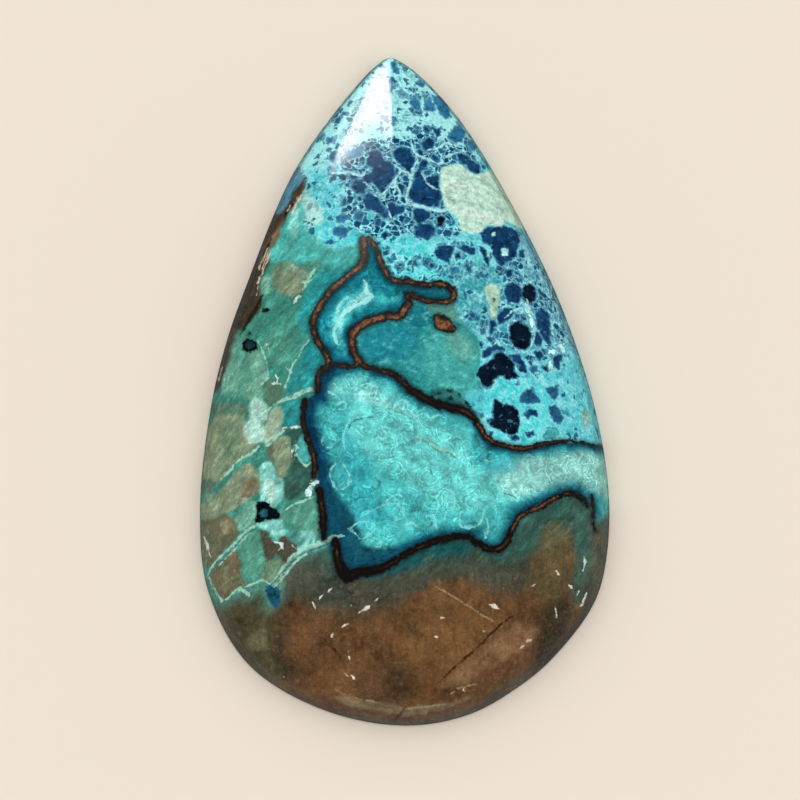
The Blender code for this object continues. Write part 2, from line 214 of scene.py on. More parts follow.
# Soft areas of the ground, the later ones over the earlier: colour, softness of the edge, cover, and
# outline.
ZONES = (
    # the fine breccia of the tip and the right side
    (AQUA, 8, 1, FINE_BRECCIA),
    (PALE_AQUA, 14, 0.9, (
        (330, 40), (420, 50), (470, 120), (462, 146), (420, 140), (380, 140), (345, 158), (300, 170),
    )),
    (AZURE, 12, 0.65, (
        (346, 158), (366, 148), (400, 142), (440, 142), (462, 154), (450, 166), (444, 186), (446, 206),
        (438, 222), (416, 226), (394, 222), (372, 216), (354, 198),
    )),
    (BRIGHT_AQUA, 10, 0.9, (
        (318, 222), (345, 236), (372, 228), (392, 240), (420, 238), (456, 262), (470, 282), (452, 288),
        (417, 284), (399, 281), (386, 272), (379, 256), (368, 239), (355, 245), (330, 250), (312, 240),
    )),
    (PEACOCK, 8, 0.8, (
        (438, 268), (470, 262), (500, 268), (503, 300), (496, 322), (474, 330), (456, 316), (458, 290),
    )),
    # Along the right rim, a painted reflection of the sky: a steel-blue band on the steep flank.
    (STEEL_BLUE, 8, 0.9, (
        (516, 224), (530, 240), (562, 300), (582, 360), (588, 400), (572, 392), (556, 350), (541, 306),
        (526, 282), (516, 262), (520, 244),
    )),
    (AZURE, 12, 0.55, (
        (488, 304), (502, 284), (526, 278), (546, 292), (553, 318), (553, 346), (530, 356), (506, 350),
        (488, 342), (480, 324),
    )),
    (BRIGHT_AQUA, 8, 1, (
        (486, 384), (505, 380), (530, 382), (546, 392), (552, 420), (545, 440), (510, 442), (486, 434),
        (482, 410),
    )),
    (AQUA, 8, 0.9, (
        (540, 345), (575, 350), (600, 400), (606, 440), (585, 440), (560, 440), (552, 425), (548, 395),
        (530, 380),
    )),
    # the green breccia of the left side
    (SEA_GREEN, 6, 1, (
        (303, 176), (303, 200), (306, 225), (314, 240), (330, 250), (352, 246), (362, 240), (364, 257),
        (352, 272), (334, 287), (317, 311), (313, 321), (318, 342), (328, 361), (318, 381), (305, 402),
        (303, 420), (310, 444), (315, 468), (321, 503), (324, 539), (338, 541), (320, 546), (306, 551),
        (293, 560), (284, 572), (272, 585), (255, 586), (241, 592), (222, 603), (180, 640), (170, 400),
        (250, 200),
    )),
    (LAGOON, 5, 1, (
        (290, 206), (303, 196), (308, 222), (316, 238), (335, 249), (356, 250), (352, 266), (336, 266),
        (318, 263), (300, 261), (285, 263), (270, 262), (268, 250), (278, 230),
    )),
    (LAGOON, 5, 0.8, ((276, 246), (283, 236), (291, 240), (292, 252), (284, 260), (274, 261))),
    (SEAFOAM, 5, 0.7, ((292, 214), (299, 208), (300, 228), (295, 240), (290, 232))),
    (PALE_MINT, 5, 0.85, ((303, 198), (312, 200), (321, 210), (322, 224), (312, 226), (305, 216))),
    (SAGE, 4, 0.6, ((303, 186), (311, 189), (312, 196), (305, 197))),
    (JADE, 4, 0.8, ((303, 262), (320, 262), (322, 268), (314, 276), (306, 274))),
    (OLIVE_SAGE, 4, 0.95, (
        (276, 265), (290, 262), (303, 268), (307, 278), (306, 292), (292, 296), (280, 294), (273, 286),
        (271, 272),
    )),
    (SAGE, 5, 0.8, ((282, 272), (294, 273), (303, 282), (302, 293), (290, 295), (281, 290), (279, 280))),
    (CELADON, 4, 0.8, ((262, 278), (270, 276), (272, 286), (270, 295), (262, 295))),
    (PALE_SAGE, 3, 0.6, ((288, 262), (299, 268), (310, 276), (308, 279), (296, 273), (286, 266))),
    (TURQUOISE, 4, 0.6, (
        (312, 270), (325, 266), (345, 262), (352, 268), (340, 280), (322, 284), (312, 282),
    )),
    (TURQUOISE, 5, 0.95, (
        (309, 284), (322, 276), (342, 270), (352, 272), (334, 288), (319, 306), (313, 320), (314, 334),
        (308, 338), (300, 330), (294, 318), (300, 303), (306, 292),
    )),
    (SEA_GREEN, 6, 0.9, (
        (262, 296), (284, 298), (298, 304), (296, 322), (302, 336), (292, 352), (284, 372), (272, 372),
        (266, 352), (258, 340), (252, 322), (258, 308),
    )),
    (JADE, 8, 0.7, ((268, 334), (284, 330), (294, 338), (290, 354), (280, 366), (270, 358), (266, 346))),
    (TURQUOISE, 4, 0.95, (
        (312, 336), (318, 345), (326, 360), (318, 372), (316, 390), (300, 391), (289, 394), (288, 380),
        (296, 366), (302, 352), (308, 342),
    )),
    (DEEP_TEAL, 6, 0.6, ((308, 350), (318, 352), (322, 362), (314, 376), (304, 372), (302, 360))),
    (JADE, 5, 0.9, (
        (232, 330), (246, 334), (256, 352), (264, 366), (266, 380), (254, 392), (226, 396), (218, 380),
    )),
    (CELADON, 4, 0.9, ((252, 356), (260, 352), (266, 364), (267, 378), (258, 392), (248, 394), (252, 376))),
    (CELADON, 5, 0.7, ((224, 366), (238, 362), (244, 372), (240, 386), (226, 390), (218, 382))),
    (MOSS, 3, 0.95, ((266, 382), (276, 380), (281, 388), (280, 398), (272, 405), (266, 402), (264, 390))),
    (CELADON, 4, 0.8, ((244, 384), (256, 382), (262, 390), (262, 400), (252, 402), (244, 396))),
    (MOSS, 4, 0.9, ((212, 404), (226, 402), (246, 404), (248, 414), (236, 420), (214, 420))),
    (TURQUOISE, 3, 0.95, ((284, 402), (300, 399), (302, 410), (300, 426), (286, 428), (283, 415))),
    (SAGE, 5, 0.95, (
        (212, 420), (228, 414), (244, 420), (248, 436), (258, 446), (246, 456), (232, 466), (222, 476),
        (206, 484), (202, 450),
    )),
    (OLIVE_SAGE, 4, 0.8, ((226, 426), (236, 422), (240, 440), (236, 456), (226, 462), (222, 444))),
    (PALE_MINT, 4, 0.7, (
        (253, 400), (262, 400), (266, 408), (266, 416), (262, 424), (264, 434), (261, 442), (252, 444),
        (246, 438), (244, 430), (249, 420), (252, 410),
    )),
    (PALE_SAGE, 2.5, 1, (
        (272, 408), (279, 405), (283, 414), (281, 426), (277, 435), (270, 440), (263, 444), (262, 434),
        (266, 420),
    )),
    (PINE, 4, 0.9, (
        (284, 431), (296, 429), (304, 430), (308, 446), (314, 466), (313, 478), (306, 488), (296, 500),
        (284, 496), (284, 484), (290, 470), (292, 456), (288, 440),
    )),
    (LAGOON, 2.5, 1, (
        (301, 434), (306, 440), (310, 452), (311, 461), (306, 465), (300, 460), (296, 451), (297, 442),
    )),
    (SAGE, 2, 1, (
        (271, 442), (280, 437), (287, 437), (289, 447), (291, 458), (288, 470), (284, 479), (279, 476),
        (275, 463), (272, 452),
    )),
    (KHAKI, 3, 0.8, ((266, 446), (271, 444), (273, 456), (274, 464), (268, 462))),
    (SEA_GREEN, 2.5, 1, (
        (250, 456), (258, 449), (262, 453), (265, 466), (260, 474), (255, 466), (249, 463),
    )),
    (SAGE, 3, 1, (
        (220, 490), (230, 478), (240, 469), (250, 465), (257, 472), (259, 482), (256, 492), (248, 500),
        (236, 508), (225, 513), (212, 521), (202, 520), (203, 505), (213, 496),
    )),
    (TAN, 3, 0.8, ((246, 480), (254, 477), (258, 484), (256, 491), (248, 497), (240, 496))),
    (OLIVE_SAGE, 4, 0.7, ((206, 496), (216, 492), (226, 484), (228, 490), (216, 500), (208, 506))),
    (MOSS, 3, 0.9, ((202, 480), (212, 478), (215, 486), (210, 494), (202, 494))),
    (SEAFOAM, 2.5, 1, (
        (261, 466), (268, 463), (274, 468), (278, 477), (285, 480), (286, 492), (282, 503), (276, 508),
        (269, 505), (261, 500), (258, 491), (260, 478),
    )),
    (PALE_MINT, 4, 0.75, (
        (264, 480), (271, 478), (276, 486), (278, 496), (272, 503), (266, 497), (263, 488),
    )),
    (PINE, 3, 0.95, ((285, 484), (294, 482), (299, 490), (297, 500), (290, 502), (285, 496))),
    (CELADON, 2, 1, (
        (250, 501), (257, 502), (257, 514), (253, 523), (247, 529), (238, 531), (232, 526), (236, 516),
        (243, 508),
    )),
    (JADE, 4, 0.9, (
        (284, 512), (300, 504), (316, 500), (320, 516), (320, 534), (306, 530), (292, 524), (282, 520),
    )),
    (SEAFOAM, 3, 1, (
        (256, 526), (270, 522), (283, 519), (286, 530), (298, 530), (312, 530), (314, 541), (304, 552),
        (294, 558), (288, 546), (279, 535), (277, 542), (271, 532), (262, 529),
    )),
    (SEA_GREEN, 3, 0.8, ((284, 532), (300, 530), (303, 542), (296, 548), (290, 540))),
    (DRAB, 2, 1, (
        (262, 530), (268, 532), (273, 540), (277, 546), (275, 556), (270, 564), (265, 561), (264, 548),
        (262, 538),
    )),
    (DRAB, 2, 1, (
        (278, 541), (284, 534), (290, 540), (298, 549), (293, 557), (287, 564), (283, 568), (280, 560),
        (276, 554), (277, 546),
    )),
    (OLIVE_SAGE, 3, 0.95, ((266, 562), (278, 560), (286, 566), (280, 576), (270, 584), (262, 580))),
    (KHAKI, 4, 0.95, (
        (202, 520), (214, 520), (226, 514), (234, 518), (240, 532), (236, 542), (222, 554), (212, 566),
        (206, 566), (202, 545),
    )),
    (SAND, 3, 0.7, ((222, 522), (229, 521), (231, 531), (224, 533))),
    (JADE, 3, 1, (
        (241, 546), (252, 534), (260, 536), (263, 548), (264, 562), (260, 576), (254, 584), (247, 584),
        (243, 570), (240, 556),
    )),
    (KHAKI, 2.5, 1, (
        (211, 574), (219, 563), (229, 554), (236, 550), (240, 560), (242, 575), (245, 584), (238, 589),
        (230, 593), (222, 600), (215, 590),
    )),
    (TAN, 2.5, 0.8, ((230, 554), (235, 553), (237, 562), (235, 571), (231, 566))),
    # the left rim, where quartz and limonite skin the green
    (BARK, 4, 1, (
        (306, 172), (304, 184), (299, 200), (290, 214), (280, 228), (273, 248), (269, 260), (262, 276),
        (259, 292), (261, 306), (252, 318), (243, 330), (236, 332), (230, 350), (228, 368), (222, 386),
        (200, 400), (180, 360), (230, 240), (280, 160),
    )),
    (STEEL_BLUE, 3, 0.9, (
        (300, 170), (303, 178), (292, 192), (284, 212), (276, 216), (280, 200), (290, 176),
    )),
    (TAN, 3, 0.8, ((276, 228), (283, 218), (276, 240), (270, 256), (262, 262), (264, 246))),
    (BARK, 3, 0.9, ((256, 292), (262, 296), (262, 308), (252, 318), (243, 329), (236, 326), (244, 306))),
    (DRAB, 4, 0.9, ((240, 330), (236, 342), (229, 364), (222, 370), (224, 350), (230, 334))),
    # the brown quartz of the foot
    (SMOKE, 6, 1, (
        (340, 562), (400, 552), (460, 536), (500, 550), (540, 510), (590, 496), (600, 560), (540, 610),
        (400, 620), (330, 616), (326, 580),
    )),
    (CINNAMON, 26, 1, SMOKY_QUARTZ),
    (SMOKE, 26, 0.85, (
        (318, 572), (350, 586), (400, 580), (440, 566), (468, 554), (503, 554), (533, 560), (535, 582),
        (509, 594), (485, 590), (450, 588), (410, 602), (380, 608), (350, 616), (318, 614),
    )),
    (DARK_OLIVE, 20, 0.9, (
        (192, 600), (224, 606), (244, 596), (262, 592), (270, 612), (282, 612), (280, 640), (290, 668),
        (270, 690), (220, 650),
    )),
    (SMOKE, 18, 0.9, (
        (292, 562), (318, 556), (338, 572), (350, 584), (352, 596), (330, 606), (304, 600), (284, 592),
    )),
    (PINE, 6, 0.7, ((316, 552), (332, 548), (336, 562), (340, 576), (330, 582), (320, 570))),
    (DEEP_SEA, 10, 1, (
        (352, 576), (380, 568), (407, 556), (433, 543), (460, 540), (480, 546), (466, 553), (440, 558),
        (414, 567), (390, 574), (366, 579),
    )),
    (PINE, 12, 1, (
        (478, 548), (494, 554), (504, 550), (512, 538), (520, 520), (541, 509), (562, 498), (582, 503),
        (592, 520), (592, 545), (560, 540), (536, 552), (516, 562), (488, 560),
    )),
    (OLIVE_BROWN, 18, 0.95, (
        (544, 532), (560, 524), (572, 536), (572, 570), (570, 596), (552, 602), (536, 592), (534, 560),
    )),
    (KHAKI, 12, 0.5, ((544, 528), (566, 526), (570, 540), (556, 552), (542, 546))),
    (SLATE_GREEN, 9, 0.95, (
        (576, 508), (590, 508), (592, 540), (590, 570), (584, 596), (578, 606), (573, 590), (575, 560),
        (574, 530),
    )),
    (OLIVE_BLACK, 16, 0.8, (
        (546, 606), (566, 598), (576, 606), (566, 636), (540, 668), (528, 662), (536, 636),
    )),
    (OLIVE_BLACK, 8, 0.75, (
        (594, 560), (612, 560), (604, 606), (578, 640), (552, 664), (530, 684), (532, 672), (560, 640),
        (582, 610),
    )),
    (DRAB, 6, 0.85, ((596, 512), (612, 512), (614, 590), (600, 600), (594, 570), (593, 540))),
    (RUSSET, 14, 0.9, (
        (420, 590), (470, 580), (500, 600), (520, 612), (500, 640), (470, 660), (440, 690), (410, 690),
        (396, 650), (400, 610),
    )),
    (CINNAMON, 20, 0.8, (
        (300, 620), (340, 610), (360, 630), (352, 660), (330, 690), (300, 680), (282, 650),
    )),
    (FAWN, 9, 0.6, (
        (452, 672), (476, 656), (500, 634), (516, 622), (536, 630), (520, 650), (490, 668), (460, 684),
        (440, 690),
    )),
    (CINNAMON, 5, 0.8, (
        (470, 686), (500, 672), (524, 652), (534, 640), (536, 660), (500, 692), (470, 704),
    )),
    (BARK, 16, 0.4, ((372, 670), (410, 664), (416, 690), (396, 704), (360, 700), (356, 684))),
    (BARK, 16, 0.8, ((276, 630), (290, 634), (286, 656), (296, 680), (280, 676), (270, 654))),
    (KHAKI, 5, 0.6, ((262, 628), (268, 640), (264, 650), (254, 650), (248, 640))),
    (DRAB, 5, 0.9, (
        (270, 684), (310, 704), (360, 716), (410, 720), (470, 706), (540, 668), (560, 680), (480, 740),
        (380, 750), (280, 720), (240, 680),
    )),
    # A painted highlight along the girdle at the foot, where the dome meets the wall.
    (TAN, 3, 0.7, (
        (336, 694), (370, 702), (410, 706), (450, 702), (470, 696), (440, 710), (400, 714), (350, 706),
    )),
    # inside the great cell
    (GEL, 3, 1, GREAT_CELL),
    (GEL_DEEP, 14, 0.8, (
        (345, 400), (370, 400), (400, 412), (380, 430), (372, 480), (390, 520), (350, 520), (340, 450),
    )),
    (GEL_PALE, 16, 0.9, (
        (352, 400), (390, 392), (430, 420), (470, 440), (500, 460), (520, 490), (480, 510), (430, 500),
        (390, 470), (352, 440),
    )),
    (MILK, 14, 0.9, (
        (500, 460), (540, 456), (600, 456), (612, 500), (580, 488), (550, 490), (520, 500), (500, 490),
    )),
    (MILK, 10, 0.7, ((560, 456), (608, 456), (612, 496), (590, 488), (568, 478))),
    (DRAB, 16, 0.9, ((592, 520), (600, 516), (620, 512), (620, 600), (596, 600), (594, 550))),
    (GEL_DEEP, 12, 0.8, (
        (480, 446), (510, 452), (520, 462), (500, 474), (474, 462), (466, 444), (474, 436),
    )),
    # inside the inner cell
    (PEACOCK, 3, 1, INNER_CELL),
    (DEEP_TEAL, 10, 0.6, (
        (366, 262), (380, 266), (396, 284), (404, 296), (400, 312), (380, 314), (350, 330), (352, 356),
        (340, 364),
    )),
    (DEEP_TEAL, 8, 0.9, (
        (366, 262), (378, 262), (392, 284), (404, 290), (402, 308), (384, 312), (372, 300), (368, 280),
    )),
    (DEEP_SEA, 4, 1, ((400, 284), (430, 288), (446, 290), (450, 297), (436, 298), (414, 292), (402, 292))),
    # inside the turquoise cell
    (TURQUOISE, 3, 1, TURQUOISE_CELL),
    (PEACOCK, 8, 0.9, ((356, 340), (372, 326), (400, 322), (420, 334), (410, 352), (390, 362), (364, 358))),
    (LAGOON, 16, 0.6, (
        (430, 330), (462, 336), (478, 350), (478, 374), (482, 396), (470, 408), (446, 394), (424, 372),
        (420, 350),
    )),
    (CELADON, 12, 0.5, ((446, 326), (466, 334), (476, 350), (466, 360), (448, 348))),
    (DEEP_TEAL, 6, 0.9, ((404, 310), (424, 304), (432, 318), (420, 328), (404, 322))),
    (SPRUCE, 5, 0.6, (
        (430, 392), (440, 387), (452, 388), (462, 394), (468, 404), (474, 414), (462, 410), (446, 406),
        (432, 402),
    )),
    (AQUA, 5, 0.8, ((466, 392), (482, 388), (486, 404), (484, 424), (478, 418), (468, 402))),
    # pale green opal and a pale crystal in the breccia
    (OPAL, 2.5, 1, GREEN_OPAL), (PALE_CRYSTAL_GREEN, 2, 1, PALE_CRYSTAL),
    (SAGE, 3, 0.7, ((582, 412), (588, 412), (590, 422), (586, 430), (581, 424))),
)

# Where the seams stain the cells beside them: cell, which seams, colour, how far, how softly it ends, and
# cover.
STAINS = (
    (INNER_CELL, (0, 5, 6, 7), DEEP_TEAL, 10, 14, 0.7), (INNER_CELL, (0, 5, 6, 7), PETROL, 5, 11, 0.95),
    (TURQUOISE_CELL, (6, 8), DEEP_SEA, 5, 10, 0.8), (GREAT_CELL, (7, 8), DEEP_TEAL, 10, 12, 0.8),
    (GREAT_CELL, (7, 8), PETROL, 5, 8, 0.95), (GREAT_CELL, (0, 1, 2), DEEP_TEAL, 19, 22, 0.85),
    (GREAT_CELL, (0, 1, 2), PETROL, 14, 13, 1), (GREAT_CELL, (3,), DEEP_TEAL, 14, 16, 0.8),
    (GREAT_CELL, (3,), PETROL, 7, 14, 1),
)

# Soft clouds and streaks: colour, softness, cover, and a path with its half width.
CLOUDS = (
    ("#0D4A60", 9, 0.95, (
        (317, 484, 3), (328, 500, 10), (335, 516, 15), (344, 535, 18), (352, 553, 18), (376, 557, 10),
        (404, 550, 6), (432, 539, 4), (450, 534, 2),
    )),
    ("#50DADC", 8, 0.95, (
        (366, 285, 2), (366, 294, 6), (357, 301, 7), (347, 304, 8), (340, 318, 8), (337, 332, 5.5),
        (338, 344, 3),
    )),
    ("#C8FAF6", 4, 0.5, ((366, 284, 1), (366, 292, 2.4), (360, 299, 3), (350, 303, 3), (344, 310, 2.4))),
    ("#BDF7F2", 4, 0.45, ((341, 316, 2), (339, 328, 3), (340, 340, 1))),
    ("#43C2C6", 8, 0.8, ((372, 298, 4), (388, 300, 4), (398, 298, 2))),
    ("#3FB9C2", 7, 0.7, ((344, 352, 3), (340, 340, 4), (336, 325, 3))),
    ("#7FE2DC", 14, 0.75, ((336, 392, 5), (348, 388, 9), (366, 392, 9), (384, 396, 5))),
    ("#B8F0E8", 4, 0.45, ((358, 399, 2), (366, 394, 4), (375, 391, 3))),
    ("#9FEDE6", 6, 0.55, ((362, 400, 3), (380, 402, 5), (400, 408, 3), (418, 420, 2))),
    (CELADON, 3, 0.6, ((446, 196, 0.5), (458, 202, 1.2), (474, 204, 1), (492, 211, 0.5))),
    (CELADON, 3, 0.6, ((462, 176, 0.5), (478, 180, 1.2), (493, 188, 1), (504, 200, 0.5))),
    (CELADON, 2.5, 0.5, ((450, 186, 0.4), (466, 190, 0.8), (486, 198, 0.8), (503, 212, 0.4))),
    ("#ECFAF0", 4, 0.7, ((444, 178, 0.5), (452, 182, 2), (470, 188, 1.6), (482, 193, 0.5))),
    ("#ECFAF0", 4, 0.7, ((460, 210, 0.5), (476, 214, 2), (492, 218, 1.6), (503, 224, 0.5))),
)

# Crisp fragments of the breccia: one colour and many outlines.
FRAGMENTS = (
    (NAVY, (
        ((392, 151), (399, 148), (409, 149), (413, 155), (415, 162), (411, 173), (406, 171), (400, 165),
         (395, 157)),
        ((369, 152), (377, 151), (382, 155), (385, 161), (391, 162), (394, 169), (394, 178), (390, 183),
         (385, 188), (386, 193), (381, 191), (372, 182), (368, 184), (364, 193), (357, 193), (351, 185),
         (353, 182), (362, 180), (363, 174), (372, 174), (374, 168), (369, 166), (367, 160)),
        ((364, 197), (369, 193), (379, 199), (382, 206), (388, 212), (386, 219), (377, 212), (368, 210),
         (363, 203)),
        ((388, 203), (399, 205), (406, 207), (402, 212), (395, 215), (390, 219), (386, 212)),
        ((411, 187), (415, 178), (418, 168), (423, 159), (427, 160), (428, 168), (422, 171), (424, 180),
         (432, 175), (438, 175), (439, 184), (441, 196), (438, 205), (429, 207), (418, 203), (410, 199),
         (409, 192)),
        ((431, 161), (434, 155), (439, 160), (438, 165), (432, 162)),
        ((422, 142), (429, 138), (434, 142), (433, 150), (428, 152), (423, 148)),
        ((423, 128), (428, 125), (433, 128), (429, 132), (424, 131)),
        ((434, 129), (441, 128), (439, 137), (436, 139)),
        ((456, 150), (462, 153.5), (471, 159), (479, 165), (479, 173), (474, 174), (466, 165), (459, 161)),
        ((414, 210), (422, 208), (432, 215), (425, 221), (420, 224), (414, 219)),
        ((414, 226), (420, 224), (430.5, 224), (436, 227.5), (434, 235), (427, 240), (415, 235)),
        ((327, 179), (335, 174), (336, 179), (331, 181.6)),
        ((337, 174), (342.5, 174), (348, 176.5), (345, 180), (341, 179)),
        ((350, 174), (356.5, 173), (360, 176.5), (355, 179), (350, 178)),
        ((395, 167.5), (401, 170), (402, 175), (397, 175)),
        ((397, 184), (401, 184), (405, 187), (402, 193), (399, 192)),
        ((418, 151), (420, 150), (423, 155), (419, 157)),
        ((434.6, 252), (438, 247), (445, 245.5), (454, 246), (452.4, 253), (450, 263), (442, 259.5),
         (436, 256)),
        ((457.6, 247), (465, 246), (474, 249), (474, 254.5), (469, 254.5), (463, 250.6)),
        ((455, 253), (460, 253), (460, 258), (456, 259.5)),
        ((431, 263), (434.6, 263), (433, 268), (430, 267)),
        ((381, 236.6), (386, 231.5), (390, 235), (385, 238.5)),
        ((480.5, 232.8), (488, 227), (501, 227), (512, 228), (520, 234), (519, 245.5), (515, 257),
         (501, 266), (493, 254), (491, 245.5), (483, 242)),
        ((504.7, 271), (512.4, 268.5), (512.4, 276), (507, 277.4)),
        ((519, 250.6), (524, 250.6), (525, 257), (520, 257)),
        ((478.6, 245.5), (482, 247), (487, 254.4), (489, 262), (488, 266), (484, 258), (480.5, 252)),
        ((506, 285), (513, 282.4), (522, 287.6), (519, 301.6), (509, 303), (505, 295)),
        ((497.6, 317), (501.4, 310.5), (511.6, 309), (514, 313), (508, 320.7), (499, 324.5)),
        ((537, 312), (542, 309), (548.6, 314), (550.5, 327), (548.6, 338.6), (552.4, 347.5), (545, 341),
         (538.4, 329.6), (536, 319.4)),
        ((537, 331), (542, 338.6), (541, 347.5), (534.6, 343.7), (533, 336)),
        ((489, 317), (494, 320.7), (496, 329.6), (491, 334.7), (490, 324.5)),
        ((478.5, 341), (483.6, 343.7), (482, 347.5), (478.5, 345)),
        ((485, 337), (494, 338.6), (491, 342.4)),
        ((482, 352.6), (489, 347.5), (496, 345), (504, 347.5), (505, 351), (496, 350), (487.4, 356.4),
         (483.6, 357.7)),
        ((511.6, 354.8), (519.3, 354.8), (524.4, 363.8), (525.7, 371.4), (520.6, 371.4), (516.7, 363.8),
         (513, 360)),
        ((534.6, 352), (541, 351), (543.5, 356), (539.7, 360), (536, 357.4)),
        ((552.4, 358.7), (557.6, 353.6), (561.4, 356), (560, 365), (559, 369), (553.7, 363.8)),
        ((542, 365), (547, 366), (547, 371.4), (543.5, 370)),
        ((524.4, 413.5), (529.5, 409.7), (536, 411), (537.8, 417.3), (534.6, 416), (530.8, 414.8),
         (528, 418)),
        ((509, 436.5), (516.7, 435), (518, 439), (511.6, 441)),
        ((525.7, 433), (533, 431.4), (534, 435.8), (528, 437)),
        ((487.4, 431.4), (492.5, 432.7), (491, 435)),
        ((516.5, 381.5), (519.5, 381.5), (519.5, 384.5), (516.5, 384.5)),
    )),
    (INK, (
        ((437, 218.6), (441, 216), (444.5, 218.6), (443, 226), (438, 227.5)),
        ((522, 287.6), (529.5, 282.4), (536, 289), (537, 294), (532, 304), (525.7, 301.6), (522, 295)),
        ((509, 331), (511.6, 324.5), (519.3, 319.4), (528, 327), (530.8, 333.5), (529.5, 347.5),
         (519.3, 350), (511.6, 342.4)),
        ((495, 399.5), (502.7, 403.3), (513, 406), (518, 412), (519.3, 422.4), (518, 432.7), (511.6, 435),
         (506.5, 434), (499, 429), (488.7, 423.7), (488, 420), (493, 417.3), (492.5, 409.7)),
        ((476, 375), (481, 366), (491, 361), (494, 355), (501.4, 352.3), (509, 356), (513, 364),
         (514, 371.4), (519.3, 376.5), (514, 379), (506.5, 378), (500, 375), (495, 379), (492.5, 386.7),
         (487.4, 388), (481, 383)),
    )),
    (AZURE, (
        ((447, 137), (451, 132), (459, 125), (465, 132), (462, 142), (455, 142)),
        ((467.5, 142), (471, 141), (476, 148), (471, 150)),
        ((433, 96), (441, 97), (448, 106), (450, 116.5), (444.5, 118), (438, 109), (434, 102.5)),
        ((410, 102.5), (415, 99), (420, 102.5), (418, 109), (413, 108)),
        ((424, 104), (429, 99), (434, 104), (436, 110), (429, 111), (425, 109)),
        ((418, 81), (424, 83), (423, 87), (415, 85)),
        ((391, 62), (395, 63), (400, 69), (399, 73), (393.5, 71)),
        ((355, 213), (360, 210), (364, 215), (362, 218.6), (356.5, 218.6)),
        ((336, 217), (341, 215), (348, 217), (345, 222), (337, 222)),
        ((333.6, 229), (340, 226), (347.6, 231), (346, 236), (339, 236), (333.6, 234)),
        ((331, 152), (335, 151), (339, 156), (336, 164), (331, 161), (330, 156)),
        ((344, 155), (351, 152), (359, 147), (363, 147), (362, 153.5), (354, 157), (348, 159)),
        ((326, 139.5), (331, 138), (336, 136), (335, 142), (328.5, 143)),
        ((316, 141), (322, 134), (323, 137), (318, 142)),
        ((451, 267), (456, 267), (459, 272), (452.5, 273.6)), ((479.7, 412), (483.6, 414.8), (481, 417.3)),
    )),
    (ICE, (
        ((500, 250), (504, 247), (508, 250), (508, 255), (503, 256)),
        ((492, 232), (495, 232), (495, 236), (492, 236)),
        ((525, 301), (530, 306), (531, 314), (534, 320), (533, 329), (530, 325), (528, 317), (524, 309)),
        ((557.6, 344.6), (564, 343.4), (565, 353.6), (560, 351)),
        ((548, 350), (556, 350), (556, 356), (548, 355)), ((548, 360), (552, 360), (552, 369), (548, 368)),
    )),
    ("#225A7C", (
        ((529.5, 367.6), (536, 366), (537, 371.4), (532, 372.7)),
        ((547, 389), (552.4, 386.7), (557.6, 385.5), (558, 394.4), (555, 399.5), (550, 395.7)),
        ((519.3, 402), (522, 394.4), (527, 389.3), (532, 388.6), (536, 395.7), (539.7, 399.5), (539.7, 402),
         (529.5, 403.3)),
        ((548.6, 406), (555, 406), (558.8, 411), (562.7, 418.6), (560, 425), (555, 421), (550, 413.5)),
    )),
    (TEAL, (((542, 438), (548.6, 427.6), (556, 427.6), (559, 432.7), (552, 439)),)),
    ("#0A0F14", (
        ((262, 308), (267, 307.5), (270.5, 309.5), (267, 312), (262, 312)),
        ((256, 501), (265, 501), (270, 505), (278, 511), (280, 514), (279, 519), (272, 520), (266, 520),
         (262, 522), (257, 524), (253, 522), (256, 517), (257, 510)),
        ((248, 330), (251, 331), (251, 335), (248, 335)),
    )),
    ("#1B5468", (
        ((267, 585), (273, 584), (279, 588), (281, 596), (281, 603), (277, 609), (272, 607), (268, 600),
         (266, 592)),
    )),
    ("#14302E", (
        ((429, 398), (432, 394), (435, 395), (434, 399)), ((436, 392), (441, 390), (443, 393), (438, 396)),
        ((446, 389), (451, 389), (455, 391), (450, 393)), ((457, 392), (461, 393), (462, 397), (458, 396)),
        ((446, 397), (451, 396), (455, 400), (450, 402)), ((463, 399), (468, 401), (471, 408), (466, 406)),
        ((438, 401), (442, 399), (445, 402)),
    )),
    ("#BCE6E2", (
        ((311, 481), (316, 480), (318, 483), (315, 486), (311, 485)),
        ((307, 488), (310, 485), (313, 490), (311, 496), (305, 497)),
    )),
)
# Fragments that lie on others: colour, middle and half sizes of an oval.
OVALS = (
    ("#05080C", (250, 346), (8, 7)), ("#123438", (250, 345), (4.6, 4)), ("#1F5A64", (264, 513), (4.4, 4)),
    ("#2C4A44", (493.5, 300), (2, 2.4)),
)

